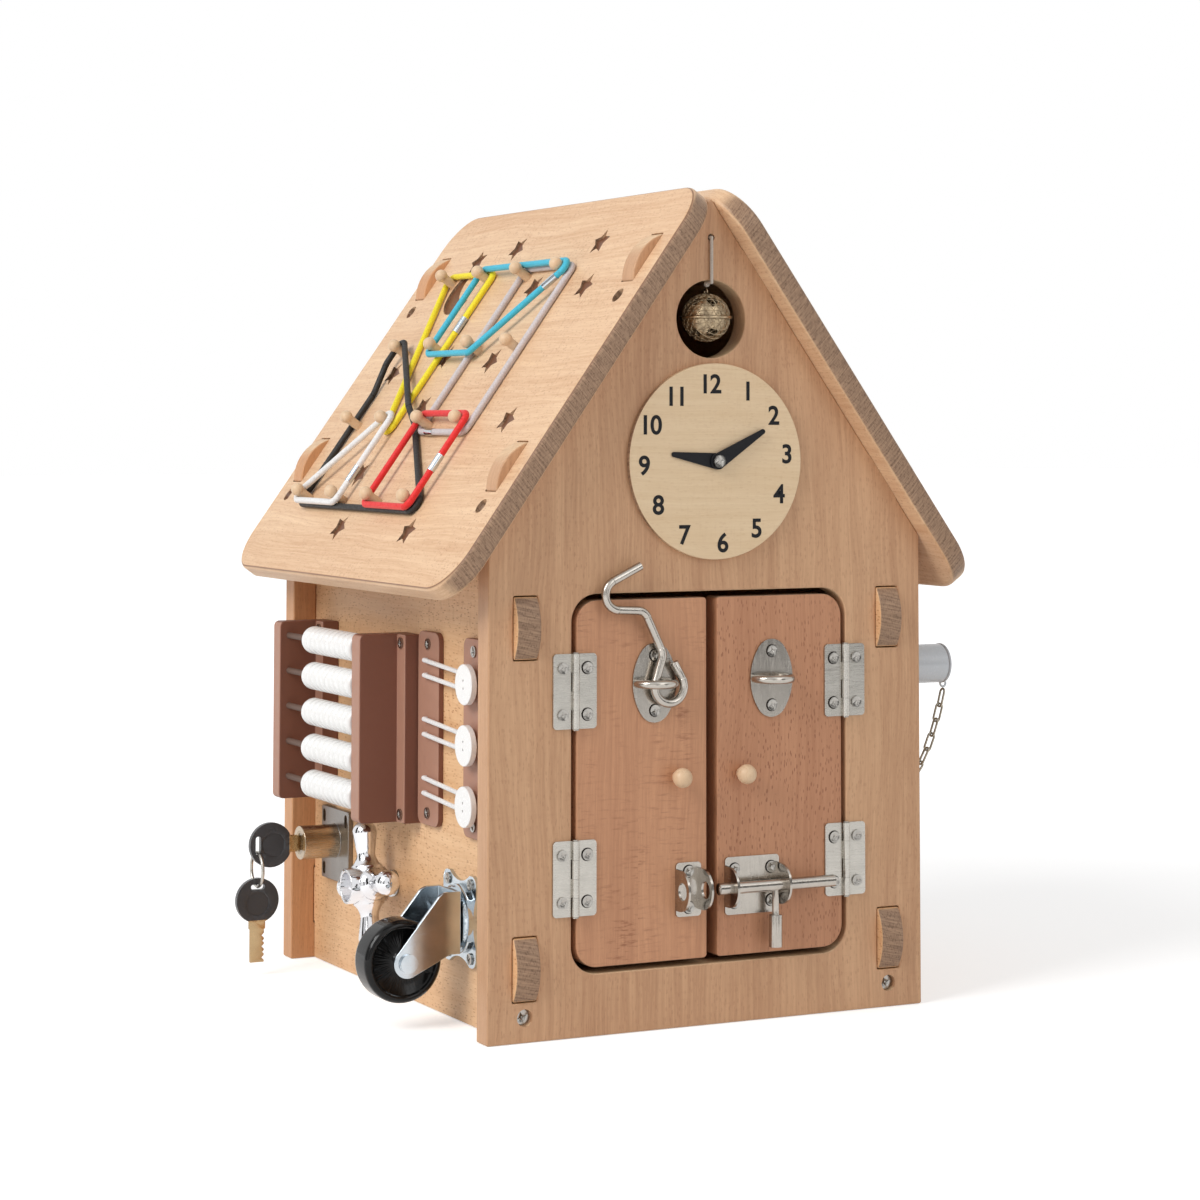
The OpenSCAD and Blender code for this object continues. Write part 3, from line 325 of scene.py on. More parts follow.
def beech_group() -> bpy.types.NodeTree:
    """Beech seen on any face of a board: staves, growth bands, streaks, pores and flecks.

    Returns:
        The group. Its vector is in millimetres: across the grain, along it, and into the board.
    """
    name = "beech_figure"
    if name in bpy.data.node_groups:
        return bpy.data.node_groups[name]
    tree, g, source, sink = new_group(
        name,
        (("Vector", "NodeSocketVector", None), ("Stave Width", "NodeSocketFloat", 60.0),
         ("Seed", "NodeSocketFloat", 0.0), ("Fleck Length", "NodeSocketFloat", 4.6)),
        (("Tone", "NodeSocketFloat"), ("Fleck", "NodeSocketFloat"), ("Ray", "NodeSocketFloat"),
         ("End", "NodeSocketFloat"), ("Height", "NodeSocketFloat")),
    )
    where, width, seed = (source.outputs[label] for label in ("Vector", "Stave Width", "Seed"))
    split = g.add("SeparateXYZ")
    g.feed(split.inputs[0], where)
    across, along, depth = split.outputs

    def stretched(lead: object, per_mm: Triple) -> Socket:
        """A place read at so many features per millimetre each way."""
        ways = zip((lead, along, depth), per_mm)
        return g.combine(*(g.math("MULTIPLY", way, share) for way, share in ways))

    def layer(grain: Grain) -> Socket:
        """The pattern of one layer, from 0 to 1."""
        noise = g.noise(stretched(bent, grain.per_mm), 1.0, grain.detail, grain.rough)
        return g.remap(noise, grain.low, grain.high)

    # staves: each glued strip has its own tone and its own figure
    number = g.math("FLOOR", g.math("DIVIDE", g.math("ADD", across, g.math("MULTIPLY", seed, 7.3)), width))
    chance = g.add("TexWhiteNoise", noise_dimensions="1D")
    g.feed(chance.inputs["W"], g.math("ADD", number, seed))
    stave = chance.outputs["Value"]
    slow = g.noise(stretched(across, (0.02, 0.005, 1.0)), 1.0, 2.0)
    bent = g.math("ADD", across, g.total(((stave, 300.0), (slow, DRIFT_MM))))
    # growth bands, fine grain lines and short streaks
    lines = layer(LINES)
    tone = g.total(((layer(BANDS), BANDS.share), (lines, LINES.share), (layer(STREAKS), STREAKS.share),
                    (stave, STAVE_SHARE)))
    # short dark ray flecks, thick in some places and thin in others
    lead = g.total(((bent, FLECKS_PER_MM), (g.noise(where, 0.9, 1.0), 0.35)))
    run = g.math("DIVIDE", along, source.outputs["Fleck Length"])
    dash = g.cells(g.combine(lead, run, g.math("MULTIPLY", depth, 0.7)))
    patch = g.noise(stretched(across, (0.05, 0.02, 1.0)), 1.0, 2.0)
    fleck = g.math("MULTIPLY", g.remap(dash, 0.33, 0.17), g.remap(patch, 0.25, 0.75, 0.45, 1.0))
    # silky ribbons across the grain
    ray = g.math("MULTIPLY", layer(RIBBONS), g.remap(patch, *CORE))
    # sawn end: fine rays through the thickness, and growth rings as dark lines
    slant = g.math("ADD", across, g.math("MULTIPLY", depth, 0.22))
    fine = g.noise(g.combine(slant, 0.0, g.math("MULTIPLY", depth, 0.06)), 1.0, 3.0, 0.75)
    ringed = g.math("FRACT", g.total(((slant, RINGS_PER_MM), (slow, 3.0))))
    ring = g.remap(g.math("ABSOLUTE", g.math("SUBTRACT", ringed, 0.5)), 0.36, 0.48)
    end = g.total(((g.remap(fine, 0.32, 0.68), 0.72), (ring, 0.38)))
    height = g.math("SUBTRACT", g.math("MULTIPLY", lines, 0.7), g.math("MULTIPLY", fleck, 0.6))
    for label, value in (("Tone", tone), ("Fleck", fleck), ("Ray", ray), ("End", end), ("Height", height)):
        g.feed(sink.inputs[label], value)
    return tree


def speckle_group() -> bpy.types.NodeTree:
    """Faint handling marks and unevenness that metal and plastic share.

    Returns:
        The group: Value wanders round 0.5, and Scratch is a mask of fine hairlines.
    """
    name = "handling_marks"
    if name in bpy.data.node_groups:
        return bpy.data.node_groups[name]
    tree, g, source, sink = new_group(
        name,
        (("Vector", "NodeSocketVector", None), ("Size", "NodeSocketFloat", 400.0)),
        (("Value", "NodeSocketFloat"), ("Scratch", "NodeSocketFloat")),
    )
    where, size = source.outputs["Vector"], source.outputs["Size"]
    value = g.noise(where, size, 3.0, 0.6)
    hair = g.noise(g.vector("MULTIPLY", where, (1.0, 1.0, 14.0)), g.math("MULTIPLY", size, 1.4), 2.0, 0.7)
    g.feed(sink.inputs["Value"], value)
    g.feed(sink.inputs["Scratch"], g.remap(hair, 0.55, 0.8))
    return tree


# How squarely a face faces along the grain, from where it starts to show end grain to where it is all end.
TURN = (0.45, 0.8)


class Finish:
    """A finish that makes its material once."""

    name: str

    def paint(self, graph: Graph, shader: bpy.types.Node, place: Socket) -> None:
        """Wires the finish into the shader; each kind of finish does this its own way."""
        raise NotImplementedError

    def material(self) -> bpy.types.Material:
        """The finish's material, made on first use."""
        if self.name in bpy.data.materials:
            return bpy.data.materials[self.name]
        material = bpy.data.materials.new(self.name)
        material.use_nodes = True
        tree = material.node_tree
        tree.nodes.clear()
        graph = Graph(tree)
        shader = graph.add("BsdfPrincipled")
        graph.tree.links.new(shader.outputs[0], graph.add("OutputMaterial").inputs[0])
        place = graph.add("TexCoord").outputs["Object"]
        self.paint(graph, shader, place)
        return material


@dataclass(frozen=True)
class Board:
    """Which way a board's wood runs: unit vectors across, along and into it."""

    across: Triple = Axis.X.value
    along: Triple = Axis.Z.value
    depth: Triple = Axis.Y.value


def roof_board(side: float) -> Board:
    """The board directions of a roof slope; side is -1 on the left and 1 on the right."""
    pitch = math.radians(ROOF_PITCH)
    down = (side * math.cos(pitch), 0.0, -math.sin(pitch))
    out = (side * math.sin(pitch), 0.0, math.cos(pitch))
    return Board(across=down, along=Axis.Y.value, depth=out)


@dataclass(frozen=True)
class Scorch:
    """Brown laser-burnt floors of a roof board's cut-outs, found by their depth under its face."""

    point: Triple
    out: Triple
    colour: Triple = (0.09, 0.035, 0.015)
    ash: float = 2.6

    def burn(self, graph: Graph, colour: Socket, spot: Socket, cloud: Socket) -> Socket:
        """Browns the floors of the cut-outs.

        Args:
            graph: the material's graph.
            colour: the board's own colour.
            spot: object coordinates in millimetres.
            cloud: how burnt each place is, from 0 to 1.

        Returns:
            The colour with its scorched places.
        """
        under = graph.vector("DOT_PRODUCT", graph.vector("SUBTRACT", self.point, spot), self.out)
        floor = graph.math("MULTIPLY", graph.remap(under, 0.25, 0.5), graph.remap(under, 2.6, 2.0))
        facing_out = graph.vector("DOT_PRODUCT", graph.add("TexCoord").outputs["Normal"], self.out)
        sooty = graph.math("MULTIPLY", floor, graph.remap(facing_out, 0.5, 0.9))
        soot = graph.mix(cloud, self.colour, tuple(c * self.ash for c in self.colour))
        return graph.mix(sooty, colour, soot)


@dataclass(frozen=True)
class BeechFinish(Finish):
    """Clear matt lacquer over beech."""

    name: str
    board: Board
    light: Triple
    dark: Triple
    fleck: Triple
    end_light: Triple
    end_dark: Triple
    stave: float = 60.0
    seed: float = 1.0
    fleck_share: float = 0.6
    fleck_length: float = 4.6
    ray_share: float = 0.3
    roughness: float = 0.46
    scorch: Scorch | None = None

    def paint(self, graph: Graph, shader: bpy.types.Node, place: Socket) -> None:
        """Wires staves, flecks, rays and end grain.

        Args:
            graph: the material's graph.
            shader: its Principled shader.
            place: object coordinates.
        """
        spot = graph.vector("SCALE", place, scale=PER_METRE)
        ways = (self.board.across, self.board.along, self.board.depth)
        where = graph.combine(*(graph.vector("DOT_PRODUCT", spot, way) for way in ways))
        group = graph.add("Group", node_tree=beech_group())
        graph.feed(group.inputs["Vector"], where)
        group.inputs["Stave Width"].default_value = self.stave
        group.inputs["Seed"].default_value = self.seed
        group.inputs["Fleck Length"].default_value = self.fleck_length
        out = group.outputs
        face = graph.mix(out["Tone"], self.light, self.dark)
        face = graph.mix(graph.math("MULTIPLY", out["Ray"], self.ray_share), face, self.fleck)
        face = graph.mix(graph.math("MULTIPLY", out["Fleck"], self.fleck_share), face, self.fleck)
        ends = graph.mix(out["End"], self.end_light, self.end_dark)
        colour = graph.mix(graph.remap(graph.facing(self.board.along), *TURN), face, ends)
        if self.scorch:
            colour = self.scorch.burn(graph, colour, spot, graph.noise(where, 0.8, 3.0))
        graph.feed(shader.inputs["Base Color"], colour)
        rough = graph.remap(out["Tone"], 0.0, 1.2, self.roughness - 0.05, self.roughness + 0.07)
        graph.feed(shader.inputs["Roughness"], rough)
        graph.feed(shader.inputs["Normal"], graph.bump(out["Height"], 0.35, 0.00012))
        shader.inputs["Specular IOR Level"].default_value = 0.4


@dataclass(frozen=True)
class MetalFinish(Finish):
    """Bare or plated metal, with brush lines along one axis."""

    name: str
    colour: Triple
    roughness: float
    tint: Triple | None = None
    brush: Triple = (1.0, 1.0, 1.0)
    brush_depth: float = 0.10
    blotch: float = 120.0

    def paint(self, graph: Graph, shader: bpy.types.Node, place: Socket) -> None:
        """Wires brush lines, blotches and hairlines.

        Args:
            graph: the material's graph.
            shader: its Principled shader.
            place: object coordinates.
        """
        lines = graph.noise(graph.vector("MULTIPLY", place, self.brush), 2600.0, 2.0, 0.6)
        marks = graph.add("Group", node_tree=speckle_group())
        graph.feed(marks.inputs["Vector"], place)
        marks.inputs["Size"].default_value = self.blotch
        cloud = graph.remap(marks.outputs["Value"], *CORE)
        tint = self.tint or tuple(c * 0.82 for c in self.colour)
        tinted = graph.math("MULTIPLY", cloud, 0.55)
        graph.feed(shader.inputs["Base Color"], graph.mix(tinted, self.colour, tint))
        shader.inputs["Metallic"].default_value = 1.0
        brushed = graph.remap(lines, 0.25, 0.75, self.roughness * 0.8, self.roughness * 1.25)
        scratched = graph.math("MULTIPLY", marks.outputs["Scratch"], 0.06)
        graph.feed(shader.inputs["Roughness"], graph.math("ADD", brushed, scratched))
        graph.feed(shader.inputs["Normal"], graph.bump(lines, self.brush_depth, 0.00003))


@dataclass(frozen=True)
class PlasticFinish(Finish):
    """Moulded plastic or paint; edge is a darker colour for faces that don't face left or right: painted
    shade.
    """

    name: str
    colour: Triple
    roughness: float
    grain: float = 0.08
    coat: float = 0.0
    size: float = 900.0
    cloud: float = 0.05
    shine: float = 0.5
    edge: Triple | None = None

    def paint(self, graph: Graph, shader: bpy.types.Node, place: Socket) -> None:
        """Wires moulding grain and handling marks.

        Args:
            graph: the material's graph.
            shader: its Principled shader.
            place: object coordinates.
        """
        marks = graph.add("Group", node_tree=speckle_group())
        graph.feed(marks.inputs["Vector"], place)
        marks.inputs["Size"].default_value = self.size
        value = marks.outputs["Value"]
        lifted = tuple(min(1.0, c * (1.0 + self.cloud) + 0.002) for c in self.colour)
        lowered = tuple(c * (1.0 - self.cloud) for c in self.colour)
        colour = graph.mix(value, lowered, lifted)
        # painted shade: faces that don't face left or right take the darker edge colour
        if self.edge:
            colour = graph.mix(graph.remap(graph.facing(Axis.X.value), *TURN), self.edge, colour)
        graph.feed(shader.inputs["Base Color"], colour)
        moulded = graph.remap(value, *CORE, self.roughness * 0.88, self.roughness * 1.12)
        scratched = graph.math("MULTIPLY", marks.outputs["Scratch"], 0.05)
        graph.feed(shader.inputs["Roughness"], graph.math("ADD", moulded, scratched))
        graph.feed(shader.inputs["Normal"], graph.bump(value, self.grain, 0.00005))
        shader.inputs["Specular IOR Level"].default_value = self.shine
        shader.inputs["Coat Weight"].default_value = self.coat
        shader.inputs["Coat Roughness"].default_value = 0.08


@dataclass(frozen=True)
class CordFinish(Finish):
    """Braided elastic or twine: fine plaited ribs over a soft sheen."""

    name: str
    colour: Triple
    rib: float = 1.1
    sheen: float = 0.15

    def paint(self, graph: Graph, shader: bpy.types.Node, place: Socket) -> None:
        """Wires the plait, with painted shade in its grooves.

        Args:
            graph: the material's graph.
            shader: its Principled shader.
            place: object coordinates.
        """
        spot = graph.vector("SCALE", place, scale=PER_METRE / self.rib)
        plait = graph.cells(spot, 0.6)
        cloud = graph.noise(place, 900.0, 2.0)
        # painted shade: the plait's grooves are darker, more in some places than others at random
        dark = tuple(c * 0.80 for c in self.colour)
        crease_shade = graph.math("MULTIPLY", graph.remap(plait, 0.2, 0.75), graph.remap(cloud, 0.2, 0.8, 0.4, 0.9))
        graph.feed(shader.inputs["Base Color"], graph.mix(crease_shade, self.colour, dark))
        graph.feed(shader.inputs["Roughness"], graph.remap(cloud, *CORE, 0.5, 0.72))
        graph.feed(shader.inputs["Normal"], graph.bump(plait, 0.35, -0.00014))
        shader.inputs["Sheen Weight"].default_value = self.sheen


# ---------------------------------------------------------------- finishes of this toy
GABLE_LIGHT, GABLE_DARK = (0.69, 0.420, 0.240), (0.47, 0.250, 0.135)
TAB_LIGHT, TAB_DARK = (0.80, 0.560, 0.340), (0.60, 0.380, 0.215)
WALL_LIGHT, WALL_DARK = (0.86, 0.570, 0.320), (0.70, 0.410, 0.210)
ROOF_LIGHT, ROOF_DARK = (0.86, 0.610, 0.385), (0.62, 0.365, 0.205)
FLECK = (0.30, 0.130, 0.060)
END_LIGHT, END_DARK = (0.42, 0.265, 0.165), (0.155, 0.085, 0.050)


def beech(name: str, board: Board, **changes: object) -> BeechFinish:
    """A beech finish in the gable's tones unless changed.

    Args:
        name: the material's name.
        board: the way its wood runs.
        changes: fields to change.

    Returns:
        The finish.
    """
    values: dict[str, object] = dict(
        light=GABLE_LIGHT, dark=GABLE_DARK, fleck=FLECK, end_light=END_LIGHT, end_dark=END_DARK)
    values.update(changes)
    return BeechFinish(name=name, board=board, **values)


def _ridge_point(side: float) -> Triple:
    """A point on a roof board's outer face, at its top edge, in millimetres."""
    pitch = math.radians(ROOF_PITCH)
    return (side * ROOF_T * math.sin(pitch), 0.0, APEX_Z + ROOF_T * math.cos(pitch))


TURNED_TONES: dict[str, object] = dict(
    light=(0.80, 0.60, 0.40), dark=(0.68, 0.46, 0.28), fleck=(0.5, 0.3, 0.16), stave=400.0, fleck_share=0.2,
    ray_share=0.0, end_light=(0.80, 0.60, 0.40), end_dark=(0.64, 0.43, 0.26), roughness=0.4)
ROOF_TONES: dict[str, object] = dict(
    light=ROOF_LIGHT, dark=ROOF_DARK, fleck=(0.42, 0.19, 0.10), stave=52.0, fleck_share=0.45,
    fleck_length=3.4, ray_share=0.25)
FRONT_BEECH = beech("gable_beech", Board(), seed=3.0, stave=62.0, fleck_share=0.30, ray_share=0.12,
                    end_light=TAB_LIGHT, end_dark=TAB_DARK)
BACK_BEECH = beech("back_gable_beech", Board(), light=(0.72, 0.385, 0.190), dark=(0.52, 0.250, 0.115),
                   seed=9.0, stave=62.0, fleck_share=0.32, ray_share=0.10,
                   end_light=TAB_LIGHT, end_dark=TAB_DARK)
WALL_BEECH = beech(
    "wall_beech", Board(across=Axis.Z.value, along=Axis.Y.value, depth=Axis.X.value),
    light=WALL_LIGHT, dark=WALL_DARK, fleck=(0.40, 0.150, 0.055), seed=5.0, stave=58.0, fleck_share=0.72)
FLOOR_BEECH = beech("floor_beech", Board(along=Axis.Y.value, depth=Axis.Z.value), seed=7.0)
LEFT_ROOF = beech("left_roof_beech", roof_board(-1.0), seed=2.0, **ROOF_TONES,
                  scorch=Scorch(_ridge_point(-1.0), roof_board(-1.0).depth))
RIGHT_ROOF = beech("right_roof_beech", roof_board(1.0), seed=4.0, **ROOF_TONES)
LEFT_DOOR = beech(
    "left_door_beech", Board(), light=(0.64, 0.330, 0.180), dark=(0.46, 0.215, 0.115),
    fleck=(0.27, 0.095, 0.045), seed=11.0, stave=38.0, fleck_share=0.10, ray_share=0.75)
RIGHT_DOOR = beech(
    "right_door_beech", Board(), light=(0.60, 0.300, 0.165), dark=(0.44, 0.200, 0.105),
    fleck=(0.25, 0.090, 0.045), seed=13.0, stave=80.0, fleck_share=0.75, ray_share=0.05)
TURNED_BEECH = beech("turned_beech", Board(), **TURNED_TONES)
CLOCK_BIRCH = beech(
    "clock_birch", Board(across=Axis.Z.value, along=Axis.X.value), light=(0.85, 0.66, 0.44),
    dark=(0.74, 0.54, 0.33), fleck=(0.55, 0.34, 0.18), stave=400.0, seed=6.0, fleck_share=0.2,
    ray_share=0.15, roughness=0.4)
# its edge colour paints every face that doesn't face left or right darker: painted shade beside the faces lit
# from the left
BROWN_STAIN_SHADED_SIDES = PlasticFinish(
    "brown_stain", (0.40, 0.205, 0.140), 0.5, grain=0.25, size=260.0, cloud=0.08,
    edge=(0.205, 0.080, 0.050))
DARK_ROD = PlasticFinish("dark_rod", (0.010, 0.005, 0.004), 0.6, grain=0.3, shine=0.03)
SATIN_STEEL = MetalFinish("satin_steel", (0.52, 0.495, 0.45), 0.27, brush=(0.04, 1.0, 1.0))
LATCH_STEEL = MetalFinish("latch_steel", (0.47, 0.435, 0.39), 0.22, brush=(1.0, 1.0, 0.06))
ZINC = MetalFinish("zinc_plate", (0.60, 0.64, 0.67), 0.15, tint=(0.34, 0.43, 0.50), blotch=60.0)
# chrome's colour is set darker than bare chrome: painted shade standing in for dark surroundings in its
# reflections
CHROME_PAINTED_DARK = MetalFinish("chrome", (0.46, 0.47, 0.49), 0.05, brush_depth=0.01)
LOCK_PLATE = MetalFinish("lock_plate", (0.27, 0.25, 0.23), 0.30)
NICKEL = MetalFinish("warm_nickel", (0.50, 0.40, 0.29), 0.26, brush=(0.05, 1.0, 1.0))
SCREW_STEEL = MetalFinish("screw_steel", (0.42, 0.40, 0.37), 0.22)
# near-black rings round the screw heads: painted shadow of the gaps under them
PAINTED_SCREW_SHADOW = MetalFinish("ring_steel", (0.035, 0.028, 0.024), 0.45)
ANTIQUE_BRASS = MetalFinish(
    "antique_brass", (0.44, 0.34, 0.22), 0.30, tint=(0.10, 0.07, 0.045), brush_depth=0.3, blotch=420.0)
KEY_BLADE = MetalFinish("key_blade", (0.50, 0.36, 0.20), 0.24)
CHAIN_STEEL = MetalFinish("chain_steel", (0.40, 0.36, 0.29), 0.25, tint=(0.2, 0.17, 0.13), blotch=300.0)
WHITE_BEAD = PlasticFinish("white_bead", (0.86, 0.855, 0.84), 0.25, grain=0.02, coat=0.15, cloud=0.015)
WHITE_TUBE = PlasticFinish("white_tube", (0.62, 0.655, 0.69), 0.25, grain=0.03, coat=0.2, cloud=0.02)
BLACK_PLASTIC = PlasticFinish("black_plastic", (0.006, 0.006, 0.007), 0.18, grain=0.04, coat=0.06, shine=0.22)
BLACK_PRINT = PlasticFinish("black_print", (0.006, 0.006, 0.008), 0.40, grain=0.03, shine=0.25)
BLACK_TYRE = PlasticFinish("black_tyre", (0.005, 0.005, 0.005), 0.14, grain=0.02, coat=0.06, shine=0.22)
YELLOW = CordFinish("yellow_elastic", (0.95, 0.79, 0.015))
BLUE = CordFinish("blue_elastic", (0.050, 0.50, 0.68))
GREY = CordFinish("grey_elastic", (0.62, 0.56, 0.56))
RED = CordFinish("red_elastic", (0.80, 0.014, 0.014))
BLACK = CordFinish("black_elastic", (0.012, 0.010, 0.009), sheen=0.0)
WHITE = CordFinish("white_elastic", (0.86, 0.85, 0.84))
TWINE = CordFinish("cotton_twine", (0.56, 0.50, 0.43), 0.7)


# ---------------------------------------------------------------- mesh helpers
RECORD = frame["record"]
BODY_OF = {node: body for body, nodes in RECORD["behaviour"]["bodies"].items() for node in nodes}

# How close is the same place, in metres, and how near to level is flat.
MERGE = 3e-6
SPECK = 1e-6
FLAT_ANGLE = math.radians(0.4)
FLAT_COSINE = 0.9999
# A face that leans further than this from a flat neighbour keeps its own normals, as a cosine.
STEEPEST = 0.6
# Faces that meet at more than this have an edge worth easing, in radians.
CREASE = 0.45
# Smallest faces that count as flat on a board and on a thin plate, in square millimetres.
BOARD_FACE = 60.0
PLATE_FACE = 20.0
# A screw's points further out than this share of its head's radius are on the head's rim.
RIM_SHARE = 0.93


def pick(obj: bpy.types.Object) -> None:
    """Makes obj the only selected object, and the active one."""
    for other in bpy.context.view_layer.objects:
        if other.visible_get():
            other.select_set(False)
    obj.select_set(True)
    bpy.context.view_layer.objects.active = obj


def apply_modifiers(obj: bpy.types.Object) -> None:
    """Applies every modifier of obj."""
    pick(obj)
    for modifier in list(obj.modifiers):
        bpy.ops.object.modifier_apply(modifier=modifier.name)


def settle(obj: bpy.types.Object, name: str, finish: Finish, body: str) -> bpy.types.Object:
    """Names a finished piece, dresses it and lets it ride.

    Args:
        obj: the piece, with its place in its mesh.
        name: its name.
        finish: what it is dressed in.
        body: the body that carries it.

    Returns:
        The piece.
    """
    pick(obj)
    bpy.ops.object.transform_apply(location=True, rotation=True, scale=True)
    obj.name = name
    obj.data.name = name
    obj.data.materials.clear()
    obj.data.materials.append(finish.material())
    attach(obj, body)
    LOG.info("%s rides on %s", name, body)
    return obj


def span(points: Sequence[Vector]) -> tuple[Vector, Vector]:
    """The lowest and the highest corner of a cloud of points."""
    return Vector(map(min, zip(*points))), Vector(map(max, zip(*points)))


def _mark_outline(obj: bpy.types.Object, reach: float) -> None:
    """Gives a bevel weight to each sharp edge of an outline larger than reach.

    Args:
        obj: a mesh object with merged vertices.
        reach: the smallest outline that is rounded, in metres.
    """
    mesh = bmesh.new()
    mesh.from_mesh(obj.data)
    layers = mesh.edges.layers.float
    weight = layers.get("bevel_weight_edge") or layers.new("bevel_weight_edge")
    sharp = [e for e in mesh.edges if len(e.link_faces) == 2 and e.calc_face_angle(0.0) > CREASE]
    parent: dict[int, int] = {}

    def root(i: int) -> int:
        """The chain that vertex i belongs to."""
        while parent.setdefault(i, i) != i:
            parent[i] = parent[parent[i]]
            i = parent[i]
        return i

    for edge in sharp:
        a, b = (root(v.index) for v in edge.verts)
        parent[a] = b
    boxes: dict[int, list[Vector]] = {}
    for edge in sharp:
        boxes.setdefault(root(edge.verts[0].index), []).extend(v.co.copy() for v in edge.verts)
    size = {}
    for key, points in boxes.items():
        low, high = span(points)
        size[key] = (high - low).length
    for edge in sharp:
        if size[root(edge.verts[0].index)] > reach:
            edge[weight] = 1.0
    mesh.to_mesh(obj.data)
    mesh.free()


def _flat_planes(mesh: bpy.types.Mesh, least: float) -> list[tuple[Vector, float]]:
    """The planes of a mesh's flat faces.

    Args:
        mesh: a merged mesh whose flat faces are whole.
        least: the smallest face that counts, in square metres.

    Returns:
        Normal and offset of each plane, without repeats.
    """
    found: dict[tuple[float, ...], tuple[Vector, float]] = {}
    for face in mesh.polygons:
        if face.area > least:
            offset = face.normal.dot(face.center)
            key = (*(round(c, 3) for c in face.normal), round(offset, 5))
            found.setdefault(key, (face.normal.copy(), offset))
    return list(found.values())


def _straighten(obj: bpy.types.Object, planes: Sequence[tuple[Vector, float]]) -> None:
    """Gives each corner on a flat face that face's own normal, so that eased edges don't shade it.

    Args:
        obj: the piece, eased and smoothed.
        planes: normal and offset of its flat faces.
    """
    mesh = obj.data
    touching: dict[int, list[Vector]] = {}
    for face in mesh.polygons:
        for normal, offset in planes:
            if face.normal.dot(normal) > FLAT_COSINE and abs(face.center.dot(normal) - offset) < MERGE:
                for corner in face.vertices:
                    touching.setdefault(corner, []).append(normal)
                break
    normals = [corner.vector.copy() for corner in mesh.corner_normals]
    for face in mesh.polygons:
        for loop in face.loop_indices:
            near = touching.get(mesh.loops[loop].vertex_index)
            if near:
                best = max(near, key=face.normal.dot)
                if best.dot(face.normal) > STEEPEST:
                    normals[loop] = best
    mesh.normals_split_custom_set(normals)


def polish(node: str, name: str, finish: Finish, bevel: float = 0.0, reach: float = 24.0, segments: int = 2,
           smooth: float = 35.0, flat: float = 0.0) -> bpy.types.Object:
    """A finished copy of a CAD node: merged, with its outline eased and its curves smooth.

    Args:
        node: the CAD node that it stands for.
        name: the piece's name.
        finish: what it is dressed in.
        bevel: how far the outline's edges are eased, in millimetres.
        reach: the smallest outline that is eased, in millimetres.
        segments: steps in the eased edge.
        smooth: faces that meet under this angle are shaded as one curve.
        flat: the smallest face that is shaded as flat, in square millimetres. Eased pieces have a board's.

    Returns:
        The piece.
    """
    flat = flat or (BOARD_FACE if bevel else 0.0)
    source = frame["nodes"][node]
    obj = bpy.data.objects.new(name, source.data.copy())
    bpy.context.scene.collection.objects.link(obj)
    pick(obj)
    bpy.ops.object.mode_set(mode="EDIT")
    bpy.ops.mesh.select_all(action="SELECT")
    bpy.ops.mesh.remove_doubles(threshold=MERGE)
    bpy.ops.mesh.dissolve_degenerate(threshold=SPECK)
    if flat:
        bpy.ops.mesh.dissolve_limited(angle_limit=FLAT_ANGLE)
    bpy.ops.object.mode_set(mode="OBJECT")
    planes = _flat_planes(obj.data, flat * MM * MM) if flat else []
    if bevel:
        _mark_outline(obj, reach * MM)
        modifier = obj.modifiers.new("ease", "BEVEL")
        modifier.width = bevel * MM
        modifier.segments = segments
        modifier.limit_method = "WEIGHT"
        modifier.use_clamp_overlap = False
        modifier.loop_slide = False  # sliding would fold a flat face with holes over itself
        apply_modifiers(obj)
    bpy.ops.object.shade_smooth_by_angle(angle=math.radians(smooth))
    flatten = obj.modifiers.new("flat faces", "WEIGHTED_NORMAL")
    flatten.mode = "FACE_AREA"
    flatten.weight = 60
    flatten.keep_sharp = True
    apply_modifiers(obj)
    if planes:
        _straighten(obj, planes)
    settle(obj, name, finish, BODY_OF[node])
    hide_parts(node)
    return obj


def divide(obj: bpy.types.Object, axis: Axis, place: float) -> None:
    """Cuts a piece's faces along a plane, so that each side can take its own finish.

    Args:
        obj: the piece.
        axis: the plane's normal.
        place: where the plane crosses that axis, in millimetres.
    """
    pick(obj)
    bpy.ops.object.mode_set(mode="EDIT")
    bpy.ops.mesh.select_all(action="SELECT")
    bpy.ops.mesh.bisect(plane_co=Vector(axis.value) * place * MM, plane_no=axis.value)
    bpy.ops.object.mode_set(mode="OBJECT")


def repaint(obj: bpy.types.Object, finish: Finish, test: Callable[[Vector], bool]) -> None:
    """Dresses the faces whose middle passes a test in a second finish.

    Args:
        obj: the piece.
        finish: the second finish.
        test: takes a face's middle, in metres.
    """
    obj.data.materials.append(finish.material())
    index = len(obj.data.materials) - 1
    for face in obj.data.polygons:
        if test(face.center):
            face.material_index = index


def _islands(mesh: bpy.types.Mesh) -> list[list[Vector]]:
    """The corners of each loose part of a mesh, once doubles are merged."""
    work = bmesh.new()
    work.from_mesh(mesh)
    bmesh.ops.remove_doubles(work, verts=work.verts, dist=MERGE)
    seen: set[bmesh.types.BMVert] = set()
    parts = []
    for start in work.verts:
        if start in seen:
            continue
        seen.add(start)
        part, queue = [], [start]
        while queue:
            vertex = queue.pop()
            part.append(vertex.co.copy())
            for edge in vertex.link_edges:
                other = edge.other_vert(vertex)
                if other not in seen:
                    seen.add(other)
                    queue.append(other)
        parts.append(part)
    work.free()
    return parts


def join(pieces: Sequence[bpy.types.Object]) -> bpy.types.Object:
    """Joins pieces into the first one and returns it."""
    pick(pieces[0])
    for other in pieces[1:]:
        other.select_set(True)
    bpy.ops.object.join()
    return bpy.context.active_object


def _seat(screw: Sequence[Vector]) -> Vector:
    """The middle of a screw head's back rim, for a screw that faces the front."""
    low, high = span(screw)
    middle = (high + low) / 2
    radius = (high.z - low.z) / 2
    rim = [p.y for p in screw if math.hypot(p.x - middle.x, p.z - middle.z) > RIM_SHARE * radius]
    return Vector((middle.x, max(rim), middle.z))


